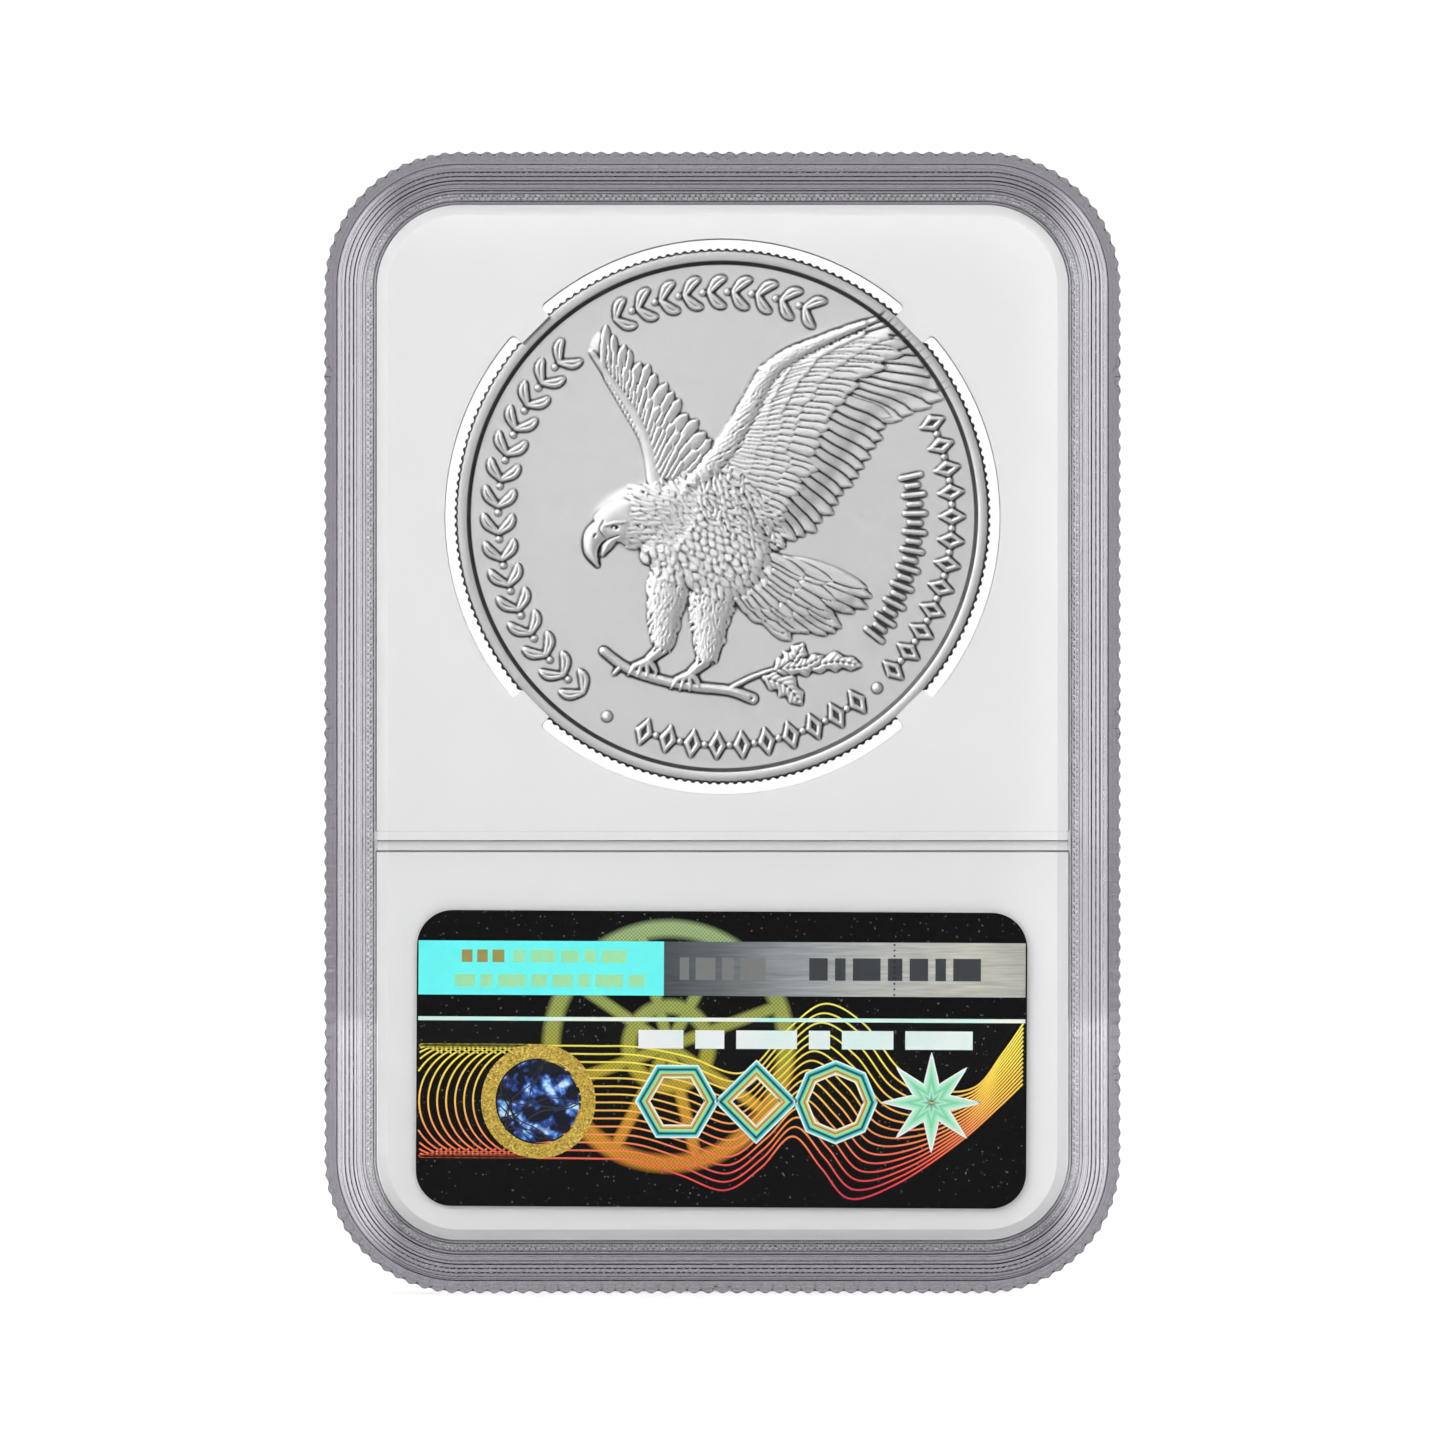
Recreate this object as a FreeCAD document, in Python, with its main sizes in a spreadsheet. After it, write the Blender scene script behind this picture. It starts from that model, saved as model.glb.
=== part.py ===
import FreeCAD, Part
import math
import os
import Sketcher

# Graded coin slab: a sealed two-shell holder standing on its bottom edge.
# +X is to the right and +Z up when the coin's reverse faces the viewer, who looks along +Y.
# The origin is the middle of the bottom edge. Every length is in millimetres, every angle in degrees.
# "Inset" is a distance in from the slab's rounded-rectangle outline; "half" depths are measured
# from the parting plane, y = 0, where the two shells meet.

SIZES = {
    # holder outline
    "slab_width": 60.3,
    "slab_height": 86.4,
    "corner_radius": 10.2,
    "scallop_pitch": 1.08,
    "scallop_depth": 0.17,
    # shell section
    "flange_half": 2.5,
    "flange_chamfer": 0.35,
    "block_inset": 1.0,
    "face_half": 3.2,
    "slab_half": 4.0,
    "rim_width": 1.5,
    "rim_chamfer": 0.35,
    "nest_inset": 2.7,
    "nest_width": 1.15,
    "cavity_inset": 3.9,
    "cavity_half": 1.8,
    # divider rib between the coin window and the label window
    "rib_drop": 8.95,
    "rib_height": 1.67,
    "rib_rise": 0.45,
    "rib_chamfer": 0.38,
    # ultrasonic weld bead and its grooves
    "weld_inset": 3.15,
    "weld_width": 0.5,
    "weld_half": 0.15,
    # opening notches in the flange edge
    "notch_length": 4.4,
    "notch_depth": 0.6,
    "notch_half": 1.0,
    "notch_post": 0.35,
    "notch_spacing": 26.4,
    "notch_overrun": 0.4,
    # core insert
    "insert_clearance": 0.1,
    "insert_half": 1.75,
    "insert_bevel": 0.8,
    "label_step_half": 1.2,
    "coin_rise": 15.6,
    "opening_radius": 21.05,
    "prong_width": 2.9,
    "prong_tip_radius": 20.0,
    "prong_root": 0.6,
    "prong_fillet": 0.4,
    "coin_play": 0.02,
    # coin
    "coin_radius": 20.3,
    "coin_half": 1.49,
    "coin_rim_width": 0.73,
    "coin_field_drop": 0.42,
    "coin_bevel": 0.14,
    "reed_count": 198,
    "reed_depth": 0.13,
    # labels
    "label_width": 46.2,
    "label_height": 22.4,
    "label_radius": 2.7,
    "label_drop": 25.5,
    "label_shift": 0.07,
    "label_tilt": 0.3,
    "label_face": 1.7,
    "label_thickness": 0.25,
    "pad_margin": 5.0,
    "foil_thickness": 0.03,
    # security label foils, measured from the label's centre
    "band_edge_gap": 0.12,
    "band_bottom": 4.8,
    "band_height": 4.1,
    "band_split": -4.4,
    "line_centre": 3.0,
    "line_height": 0.3,
    "bar_bottom": 0.8,
    "bar_height": 1.4,
    "bar_start": -6.3,
    "bar_gap": 0.9,
    "motif_radius": 3.1,
    "motif_wall": 0.85,
    "motif_start": -3.35,
    "motif_pitch": 6.0,
    "motif_level": -3.2,
    "star_centre": 15.9,
    "star_radius": 3.7,
    "star_waist": 1.45,
    "seal_centre": -13.86,
    "seal_level": -3.24,
    "seal_outer": 4.33,
    "seal_inner": 3.24,
    "seal_gap": 0.12,
    # grade label print, measured from the label's centre
    "stripe_height": 3.2,
    "stripe_margin": 1.2,
    "code_start": 6.0,
    "code_bottom": -8.2,
    "code_height": 6.4,
    "code_pitch": 0.9,
    "code_width": 0.4,
}

BAR_LENGTHS = (3.4, 2.2, 4.6, 1.6, 3.9, 5.1)
MOTIF_SIDES = (6, 4, 8)
STAR_POINTS = 8
CODE_BARS = 14
SIDE_NOTCHES = 3
PRONGS = 4
SKETCH_MARGIN = 5.0

doc = FreeCAD.newDocument("coin_slab")
sheet = doc.addObject("Spreadsheet::Sheet", "sizes")
sub_parts = []


def fill_sheet():
    for row, (name, value) in enumerate(SIZES.items(), start=1):
        sheet.set(f"A{row}", name)
        sheet.set(f"B{row}", str(value))
        sheet.setAlias(f"B{row}", name)
    doc.recompute()


def combine(offset=0.0, **factors):
    """A sum of multiples of sheet values: its number now, and the expression that keeps it so."""
    number = offset + sum(factor * SIZES[name] for name, factor in factors.items())
    terms = [f"{factor} * sizes.{name}" for name, factor in factors.items()]
    return number, " + ".join(terms + [str(offset)])


def bind(thing, prop, term):
    thing.setExpression(prop, term[1])


# ---------------------------------------------------------------- sketch helpers

def origin_feature(body, role):
    return next(item for item in body.Origin.OriginFeatures if item.Role == role)


def depth_sketch(body, name, depth, turn=0.0):
    """A sketch parallel to the slab's faces, at a depth in front of the parting plane."""
    sketch = body.newObject("Sketcher::SketchObject", name)
    sketch.AttachmentSupport = (origin_feature(body, "XZ_Plane"), [""])
    sketch.MapMode = "FlatFace"
    spin = FreeCAD.Rotation(FreeCAD.Vector(0, 0, 1), turn)
    sketch.AttachmentOffset = FreeCAD.Placement(FreeCAD.Vector(0, 0, depth[0]), spin)
    bind(sketch, "AttachmentOffset.Base.z", depth)
    return sketch


def dimension(sketch, name, kind, *spec, term):
    """A driving dimension of a sketch, bound to the sheet."""
    index = sketch.addConstraint(Sketcher.Constraint(kind, *spec, term[0]))
    sketch.renameConstraint(index, name)
    sketch.setExpression(f"Constraints.{name}", term[1])


def pin_point(sketch, name, geometry, point, right, up):
    """Hold a point of a sketch at signed distances to the right of and above its origin."""
    for axis, kind, term in (("x", "DistanceX", right), ("y", "DistanceY", up)):
        if term[0] >= 0:
            dimension(sketch, f"{name}_{axis}", kind, -1, 1, geometry, point, term=term)
        else:
            positive = (-term[0], f"-({term[1]})")
            dimension(sketch, f"{name}_{axis}", kind, geometry, point, -1, 1, term=positive)


def rounded_outline(sketch, name, width, height, radius, below):
    """A rounded rectangle, centred on the vertical axis, whose lower edge is 'below' the origin."""
    w, h, r, low = width[0] / 2, height[0], radius[0], -below[0]
    top = low + h
    first = sketch.GeometryCount
    corners = ((w - r, low + r), (w - r, top - r), (-w + r, top - r), (-w + r, low + r))
    sides = (
        ((-w + r, low), (w - r, low)),
        ((w, low + r), (w, top - r)),
        ((w - r, top), (-w + r, top)),
        ((-w, top - r), (-w, low + r)),
    )
    for number in range(4):
        start, end = (FreeCAD.Vector(x, y, 0) for x, y in sides[number])
        sketch.addGeometry(Part.LineSegment(start, end))
        centre = FreeCAD.Vector(*corners[number], 0)
        turn = Part.Circle(centre, FreeCAD.Vector(0, 0, 1), r)
        start_angle = math.radians(90 * number - 90)
        sketch.addGeometry(Part.ArcOfCircle(turn, start_angle, start_angle + math.pi / 2))
    for number in range(4):
        line, arc = first + 2 * number, first + 2 * number + 1
        after = first + (2 * number + 2) % 8
        sketch.addConstraint(Sketcher.Constraint("Tangent", line, 2, arc, 1))
        sketch.addConstraint(Sketcher.Constraint("Tangent", arc, 2, after, 1))
        level = "Horizontal" if number % 2 == 0 else "Vertical"
        sketch.addConstraint(Sketcher.Constraint(level, line))
        if number:
            sketch.addConstraint(Sketcher.Constraint("Equal", first + 1, arc))
    bottom, right, upper, left = first, first + 2, first + 4, first + 6
    half_width = (width[0] / 2, f"({width[1]}) / 2")
    dimension(sketch, f"{name}_width", "DistanceX", left, 1, right, 1, term=width)
    dimension(sketch, f"{name}_height", "DistanceY", bottom, 1, upper, 1, term=height)
    dimension(sketch, f"{name}_radius", "Radius", first + 1, term=radius)
    dimension(sketch, f"{name}_side", "DistanceX", left, 1, -1, 1, term=half_width)
    dimension(sketch, f"{name}_low", "DistanceY", bottom, 1, -1, 1, term=below)


def slab_outline(sketch, name, inset, below=None):
    """The slab's outline set in by the sum of some sheet values, with the corners concentric."""
    width = combine(slab_width=1, **{key: -2 * factor for key, factor in inset.items()})
    height = combine(slab_height=1, **{key: -2 * factor for key, factor in inset.items()})
    radius = combine(corner_radius=1, **{key: -factor for key, factor in inset.items()})
    half_height = (height[0] / 2, f"({height[1]}) / 2")
    rounded_outline(sketch, name, width, height, radius, below or half_height)


def circle(sketch, name, radius):
    ring = Part.Circle(FreeCAD.Vector(0, 0, 0), FreeCAD.Vector(0, 0, 1), radius[0])
    index = sketch.addGeometry(ring)
    sketch.addConstraint(Sketcher.Constraint("Coincident", index, 3, -1, 1))
    dimension(sketch, name, "Radius", index, term=radius)


def rectangle(sketch, name, left, low, width, height):
    """A rectangle from its lower left corner."""
    x, y = left[0], low[0]
    w, h = width[0], height[0]
    first = sketch.GeometryCount
    corners = [FreeCAD.Vector(*point, 0) for point in ((x, y), (x + w, y), (x + w, y + h), (x, y + h))]
    for number in range(4):
        sketch.addGeometry(Part.LineSegment(corners[number], corners[(number + 1) % 4]))
    for number in range(4):
        after = first + (number + 1) % 4
        sketch.addConstraint(Sketcher.Constraint("Coincident", first + number, 2, after, 1))
        level = "Horizontal" if number % 2 == 0 else "Vertical"
        sketch.addConstraint(Sketcher.Constraint(level, first + number))
    pin_point(sketch, f"{name}_corner", first, 1, left, low)
    dimension(sketch, f"{name}_width", "DistanceX", first, 1, first, 2, term=width)
    dimension(sketch, f"{name}_height", "DistanceY", first + 1, 1, first + 1, 2, term=height)


def right_triangle(sketch, name, corner_x, corner_y, leg_x, leg_y):
    """A right triangle from its square corner, with one signed leg along each axis."""
    x, y = corner_x[0], corner_y[0]
    corner = FreeCAD.Vector(x, y, 0)
    across = FreeCAD.Vector(x + leg_x[0], y, 0)
    along = FreeCAD.Vector(x, y + leg_y[0], 0)
    first = sketch.GeometryCount
    for start, end in ((corner, across), (across, along), (along, corner)):
        sketch.addGeometry(Part.LineSegment(start, end))
    for number in range(3):
        after = first + (number + 1) % 3
        sketch.addConstraint(Sketcher.Constraint("Coincident", first + number, 2, after, 1))
    sketch.addConstraint(Sketcher.Constraint("Horizontal", first))
    sketch.addConstraint(Sketcher.Constraint("Vertical", first + 2))
    pin_point(sketch, f"{name}_corner", first, 1, corner_x, corner_y)
    reach = (abs(leg_x[0]), f"abs({leg_x[1]})")
    rise = (abs(leg_y[0]), f"abs({leg_y[1]})")
    dimension(sketch, f"{name}_reach", "Distance", first, term=reach)
    dimension(sketch, f"{name}_rise", "Distance", first + 2, term=rise)


# ---------------------------------------------------------------- feature helpers

def new_body(name):
    body = doc.addObject("PartDesign::Body", name)
    body.Label = name
    return body


def tip_volume(body):
    return body.Tip.Shape.Volume if body.Tip else 0.0


def require_change(feature, before, grows):
    after = feature.Shape.Volume
    if (after > before) != grows or abs(after - before) < 1e-6:
        raise RuntimeError(f"{feature.Name} left the volume at {after:.4f}, from {before:.4f}")


def pad(body, sketch, length, towards_back=False):
    before = tip_volume(body)
    feature = body.newObject("PartDesign::Pad", sketch.Name + "_pad")
    feature.Profile = sketch
    feature.Reversed = towards_back
    bind(feature, "Length", length)
    sketch.Visibility = False
    doc.recompute()
    require_change(feature, before, grows=True)
    return feature


def pocket(body, sketch, length, towards_front=False):
    """Cut towards the back, or towards the front where that is asked for."""
    before = tip_volume(body)
    feature = body.newObject("PartDesign::Pocket", sketch.Name + "_pocket")
    feature.Profile = sketch
    feature.Reversed = towards_front
    bind(feature, "Length", length)
    doc.recompute()
    require_change(feature, before, grows=False)
    return feature


def pattern(body, kind, name, original, axis_role, axis_property, extent_property, extent, count):
    before = tip_volume(body)
    grows = original.TypeId == "PartDesign::Pad"
    feature = body.newObject("PartDesign::" + kind, name)
    feature.Originals = [original]
    setattr(feature, axis_property, (origin_feature(body, axis_role), [""]))
    bind(feature, extent_property, extent)
    feature.Occurrences = count
    body.Tip = feature
    doc.recompute()
    require_change(feature, before, grows)
    return feature


def inset_of(point, rise=0.0):
    """How far a point is in from the slab's outline, for a body whose origin is 'rise' above the
    slab's centre."""
    radius = SIZES["corner_radius"]
    past_x = abs(point.x) - (SIZES["slab_width"] / 2 - radius)
    past_z = abs(point.z + rise) - (SIZES["slab_height"] / 2 - radius)
    if past_x > 0 and past_z > 0:
        return radius - math.hypot(past_x, past_z)
    return radius - max(past_x, past_z)


def pick_edges(shape, wanted):
    """Names of the edges whose two ends and middle all pass a test."""
    names = []
    for number, edge in enumerate(shape.Edges, start=1):
        middle = edge.valueAt((edge.FirstParameter + edge.LastParameter) / 2)
        points = [vertex.Point for vertex in edge.Vertexes] + [middle]
        if all(wanted(point) for point in points):
            names.append(f"Edge{number}")
    return names


def dress(body, kind, name, edges, size):
    """Chamfer or fillet the picked edges of the body's tip."""
    if not edges:
        raise RuntimeError(f"{name} found no edges")
    base = body.Tip
    before = tip_volume(body)
    feature = body.newObject("PartDesign::" + kind, name)
    feature.Base = (base, edges)
    bind(feature, "Size" if kind == "Chamfer" else "Radius", size)
    doc.recompute()
    if abs(feature.Shape.Volume - before) < 1e-6:
        raise RuntimeError(f"{name} changed nothing")
    return feature


def near(value, target):
    return abs(value - target) < 1e-4


def place(item, name, shift_x=None, shift_z=None, turn_axis=None, turn=None):
    """Give a finished sub-part its label and its place in the slab's frame."""
    item.Label = name
    axis = turn_axis or FreeCAD.Vector(0, 0, 1)
    angle = turn or (0.0, "0")
    height = shift_z or combine(slab_height=0.5)
    across = shift_x or (0.0, "0")
    rotation = FreeCAD.Rotation(axis, angle[0])
    item.Placement = FreeCAD.Placement(FreeCAD.Vector(across[0], 0, height[0]), rotation)
    bind(item, "Placement.Base.x", across)
    bind(item, "Placement.Base.z", height)
    sub_parts.append(item)


# ---------------------------------------------------------------- toothed outlines

def rounded_path(width, height, radius):
    """Point and outward normal at a distance along a rounded rectangle, anticlockwise from the
    middle of its bottom side, and the length of the whole path."""
    flat_x, flat_z = width - 2 * radius, height - 2 * radius
    quarter = math.pi * radius / 2
    runs = (flat_x / 2, quarter, flat_z, quarter, flat_x, quarter, flat_z, quarter, flat_x / 2)

    def locate(distance):
        turned = 0
        for number, run in enumerate(runs):
            if distance <= run or number == len(runs) - 1:
                break
            distance -= run
            turned += number % 2
        heading = math.radians(90 * turned - 90)
        starts = ((0, -height / 2), (width / 2, -flat_z / 2), (flat_x / 2, height / 2),
                  (-width / 2, flat_z / 2), (-flat_x / 2, -height / 2))
        if number % 2 == 0:
            x, z = starts[turned]
            along = (-math.sin(heading), math.cos(heading))
            return x + along[0] * distance, z + along[1] * distance, heading
        angle = heading + distance / radius
        signs = ((1, -1), (1, 1), (-1, 1), (-1, -1))[turned]
        x = signs[0] * flat_x / 2 + radius * math.cos(angle)
        z = signs[1] * flat_z / 2 + radius * math.sin(angle)
        return x, z, angle

    return locate, sum(runs)


def scalloped_face():
    """The slab's outline with a wavy edge: alternate round bumps and hollows, one pair a pitch."""
    half_depth = SIZES["scallop_depth"] / 2
    width = SIZES["slab_width"] - 2 * half_depth
    height = SIZES["slab_height"] - 2 * half_depth
    locate, length = rounded_path(width, height, SIZES["corner_radius"] - half_depth)
    count = round(length / SIZES["scallop_pitch"])
    step = length / count / 2

    def point_at(distance, offset):
        x, z, angle = locate(distance % length)
        return FreeCAD.Vector(x + offset * math.cos(angle), 0, z + offset * math.sin(angle))

    arcs = []
    for number in range(2 * count):
        start = (number - 0.5) * step
        bulge = half_depth if number % 2 == 0 else -half_depth
        ends = point_at(start, 0), point_at(start + step, 0)
        arcs.append(Part.Arc(ends[0], point_at(start + step / 2, bulge), ends[1]).toShape())
    return Part.Face(Part.Wire(arcs))


def reeded_face():
    """A disc whose edge carries the coin's reeding: flat-topped ridges with sloping sides."""
    count = int(SIZES["reed_count"])
    outer = SIZES["coin_radius"]
    inner = outer - SIZES["reed_depth"]
    steps = ((0.00, inner), (0.22, inner), (0.38, outer), (0.84, outer))
    points = []
    for number in range(count):
        for part_way, radius in steps:
            angle = 2 * math.pi * (number + part_way) / count
            points.append(FreeCAD.Vector(radius * math.cos(angle), 0, radius * math.sin(angle)))
    return Part.Face(Part.makePolygon(points + points[:1]))


def extrude_face(name, face, forward, backward):
    """Extrude a face that lies in the parting plane, forward being towards -Y."""
    outline = doc.addObject("Part::Feature", name + "_outline")
    outline.Shape = face
    prism = doc.addObject("Part::Extrusion", name + "_prism")
    prism.Base = outline
    prism.DirMode = "Custom"
    prism.Dir = FreeCAD.Vector(0, -1, 0)
    prism.Solid = True
    bind(prism, "LengthFwd", forward)
    bind(prism, "LengthRev", backward)
    doc.recompute()
    return prism


def common(name, base, tool):
    result = doc.addObject("Part::Common", name)
    result.Base = base
    result.Tool = tool
    doc.recompute()
    return result


def cut(name, base, tool):
    result = doc.addObject("Part::Cut", name)
    result.Base = base
    result.Tool = tool
    doc.recompute()
    return result


# ---------------------------------------------------------------- shells and weld

def cut_notches(body, prefix):
    """Shallow V notches in the flange edge at the parting plane, each with a post at its middle."""
    half_post = combine(notch_post=0.5)
    leg_along = combine(notch_length=0.5, notch_post=-0.5)
    leg_in = combine(notch_depth=1, notch_overrun=1)
    edge_x = combine(slab_width=0.5, notch_overrun=1)
    edge_z = combine(slab_height=0.5, notch_overrun=1)

    def signed(term, sign):
        return sign * term[0], f"{sign} * ({term[1]})"

    side = depth_sketch(body, prefix + "_side_notch", combine())
    for number, (right, up) in enumerate(((1, 1), (1, -1), (-1, 1), (-1, -1))):
        corner_z = combine(notch_spacing=-1, notch_post=0.5 * up)
        right_triangle(side, f"tri{number}", signed(edge_x, right), corner_z,
                       signed(leg_in, -right), signed(leg_along, up))
    lowest = pocket(body, side, combine(notch_half=1), towards_front=True)
    pattern(body, "LinearPattern", prefix + "_side_notches", lowest, "Z_Axis", "Direction",
            "Length", combine(notch_spacing=2), SIDE_NOTCHES)

    ends = depth_sketch(body, prefix + "_end_notch", combine())
    for number, (right, up) in enumerate(((1, 1), (1, -1), (-1, 1), (-1, -1))):
        right_triangle(ends, f"tri{number}", signed(half_post, right), signed(edge_z, up),
                       signed(leg_along, right), signed(leg_in, -up))
    pocket(body, ends, combine(notch_half=1), towards_front=True)


def make_shell(name, rim_inset, rim_width, half_turn):
    """One clear shell, drawn in front of the parting plane. The rear one is turned half round."""
    body = new_body(name + "_form")
    flange = depth_sketch(body, name + "_flange", combine())
    slab_outline(flange, "outer", {})
    pad(body, flange, combine(flange_half=1))
    flange_face = -SIZES["flange_half"]
    edges = pick_edges(body.Tip.Shape, lambda point: near(point.y, flange_face))
    dress(body, "Chamfer", name + "_flange_chamfer", edges, combine(flange_chamfer=1))

    block = depth_sketch(body, name + "_block", combine())
    slab_outline(block, "outer", {"block_inset": 1})
    pad(body, block, combine(face_half=1))

    rim = depth_sketch(body, name + "_rim", combine(face_half=1))
    slab_outline(rim, "outer", {rim_inset: 1})
    slab_outline(rim, "inner", {rim_inset: 1, rim_width: 1})
    pad(body, rim, combine(slab_half=1, face_half=-1))
    rim_top = -SIZES["slab_half"]
    edges = pick_edges(body.Tip.Shape, lambda point: near(point.y, rim_top))
    dress(body, "Chamfer", name + "_rim_chamfer", edges, combine(rim_chamfer=1))

    rib = depth_sketch(body, name + "_rib", combine(face_half=1))
    rib_low = combine(rib_drop=-1, rib_height=-0.5)
    rib_left = combine(slab_width=-0.5, cavity_inset=1)
    rectangle(rib, "bar", rib_left, rib_low, combine(slab_width=1, cavity_inset=-2),
              combine(rib_height=1))
    pad(body, rib, combine(rib_rise=1))
    rib_top = -SIZES["face_half"] - SIZES["rib_rise"]
    edges = pick_edges(body.Tip.Shape, lambda point: near(point.y, rib_top))
    dress(body, "Chamfer", name + "_rib_chamfer", edges, combine(rib_chamfer=1))

    cavity = depth_sketch(body, name + "_cavity", combine())
    slab_outline(cavity, "outer", {"cavity_inset": 1})
    pocket(body, cavity, combine(cavity_half=1), towards_front=True)

    groove = depth_sketch(body, name + "_weld_groove", combine())
    slab_outline(groove, "outer", {"weld_inset": 1})
    slab_outline(groove, "inner", {"weld_inset": 1, "weld_width": 1})
    pocket(body, groove, combine(weld_half=1), towards_front=True)

    cut_notches(body, name)
    prism = extrude_face(name + "_edge", scalloped_face(), combine(slab_half=1), combine())
    shell = common(name, body, prism)
    place(shell, name, turn=(180.0, "180") if half_turn else None)


def make_weld_seam():
    body = new_body("weld_seam")
    ring = depth_sketch(body, "seam", combine(weld_half=-1))
    slab_outline(ring, "outer", {"weld_inset": 1})
    slab_outline(ring, "inner", {"weld_inset": 1, "weld_width": 1})
    pad(body, ring, combine(weld_half=2))
    place(body, "weld_seam")


# ---------------------------------------------------------------- core insert and coin

def insert_plate(name, half, drop, tall):
    """A bevelled plate of the insert's whole outline, drawn about the coin's centre, with the zone
    that starts at 'drop' and is 'tall' high cut away."""
    body = new_body(name)
    below = combine(slab_height=0.5, cavity_inset=-1, insert_clearance=-1, coin_rise=1)
    plate = depth_sketch(body, name + "_plate", combine(**{half: -1}))
    slab_outline(plate, "outer", {"cavity_inset": 1, "insert_clearance": 1}, below)
    pad(body, plate, combine(**{half: 2}))
    edges = pick_edges(body.Tip.Shape, lambda point: near(abs(point.y), SIZES[half]))
    dress(body, "Chamfer", name + "_bevel", edges, combine(insert_bevel=1))
    other_zone = depth_sketch(body, name + "_other_zone", combine(**{half: 1}))
    rectangle(other_zone, "zone", combine(slab_width=-0.5), drop, combine(slab_width=1), tall)
    pocket(body, other_zone, combine(**{half: 2}))
    return body


def make_core_insert():
    """The white insert: a plate with a round opening, four prongs that grip the coin's edge, and a
    thinner lower zone for the labels."""
    step_level = combine(rib_drop=-1, coin_rise=-1)
    bottom_level = combine(slab_height=-0.5, coin_rise=-1)
    lower = insert_plate("insert_lower", "label_step_half", step_level,
                         combine(slab_height=0.5, rib_drop=1))
    body = insert_plate("insert_upper", "insert_half", bottom_level,
                        combine(slab_height=0.5, rib_drop=-1))

    opening = depth_sketch(body, "opening", combine(insert_half=1))
    circle(opening, "opening_radius", combine(opening_radius=1))
    pocket(body, opening, combine(insert_half=2))

    prong = depth_sketch(body, "prong", combine(insert_half=-1), turn=45.0)
    reach = combine(opening_radius=1, prong_root=1, prong_tip_radius=-1)
    rectangle(prong, "bar", combine(prong_width=-0.5), combine(prong_tip_radius=1),
              combine(prong_width=1), reach)
    first = pad(body, prong, combine(insert_half=2))
    pattern(body, "PolarPattern", "prongs", first, "Y_Axis", "Axis", "Angle",
            (360.0, "360"), PRONGS)

    seat = depth_sketch(body, "coin_seat", combine(coin_half=1, coin_play=1))
    circle(seat, "seat_radius", combine(coin_radius=1, coin_play=1))
    pocket(body, seat, combine(coin_half=2, coin_play=2))

    opening_radius = SIZES["opening_radius"]

    def on_opening_wall(point):
        return abs(math.hypot(point.x, point.z) - opening_radius) < 1e-3

    shape = body.Tip.Shape
    full_depth = 1.9 * SIZES["insert_half"]
    roots = [name for name in pick_edges(shape, on_opening_wall)
             if shape.getElement(name).BoundBox.YLength > full_depth and not is_seam(shape, name)]
    dress(body, "Fillet", "prong_roots", roots, combine(prong_fillet=1))

    insert = doc.addObject("Part::Fuse", "core_insert")
    insert.Base = body
    insert.Tool = lower
    doc.recompute()
    place(insert, "core_insert", shift_z=combine(slab_height=0.5, coin_rise=1))


def is_seam(shape, name):
    """True for the joining line of a round wall, which belongs to one face only."""
    edge = shape.getElement(name)
    owners = [face for face in shape.Faces if any(edge.isSame(other) for other in face.Edges)]
    return len(owners) < 2


def make_coin():
    """The coin blank: a reeded edge, bevelled rims and recessed fields."""
    body = new_body("coin_form")
    disc = depth_sketch(body, "disc", combine(coin_half=-1))
    circle(disc, "disc_radius", combine(coin_radius=1))
    pad(body, disc, combine(coin_half=2))
    edges = pick_edges(body.Tip.Shape, lambda point: near(abs(point.y), SIZES["coin_half"]))
    dress(body, "Chamfer", "rim_bevel", edges, combine(coin_bevel=1))
    field_radius = combine(coin_radius=1, coin_rim_width=-1)
    sides = (("reverse", combine(coin_half=1)), ("obverse", combine(coin_half=-1, coin_field_drop=1)))
    for side, start in sides:
        field = depth_sketch(body, side + "_field", start)
        circle(field, "field_radius", field_radius)
        pocket(body, field, combine(coin_field_drop=1))
    prism = extrude_face("reeding", reeded_face(), combine(coin_half=1), combine(coin_half=1))
    coin = common("coin", body, prism)
    place(coin, "coin", shift_z=combine(slab_height=0.5, coin_rise=1))


# ---------------------------------------------------------------- labels

def place_on_label(item, name, rear=False):
    """Put a piece drawn about the label's centre where the labels are, with their slight tilt."""
    item.Label = name
    turn = FreeCAD.Rotation(FreeCAD.Vector(0, 1, 0), SIZES["label_tilt"])
    if rear:
        turn = turn.multiply(FreeCAD.Rotation(FreeCAD.Vector(1, 0, 0), 180))
    across = combine(label_shift=-1)
    height = combine(slab_height=0.5, label_drop=-1)
    item.Placement = FreeCAD.Placement(FreeCAD.Vector(across[0], 0, height[0]), turn)
    bind(item, "Placement.Base.x", across)
    bind(item, "Placement.Base.z", height)
    sub_parts.append(item)


def make_card(name, rear):
    body = new_body(name)
    card = depth_sketch(body, name + "_outline", combine(label_face=1, label_thickness=-1))
    rounded_outline(card, "outer", combine(label_width=1), combine(label_height=1),
                    combine(label_radius=1), combine(label_height=0.5))
    pad(body, card, combine(label_thickness=1))
    place_on_label(body, name, rear)


def make_pad(name, rear):
    """The adhesive pad between a label and the insert's lower zone."""
    body = new_body(name)
    outline = depth_sketch(body, name + "_outline", combine(label_step_half=1))
    width = combine(label_width=1, pad_margin=-2)
    height = combine(label_height=1, pad_margin=-2)
    half_height = (height[0] / 2, f"({height[1]}) / 2")
    rounded_outline(outline, "outer", width, height, combine(label_radius=0.5), half_height)
    pad(body, outline, combine(label_face=1, label_thickness=-1, label_step_half=-1))
    place_on_label(body, name, rear)


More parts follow.
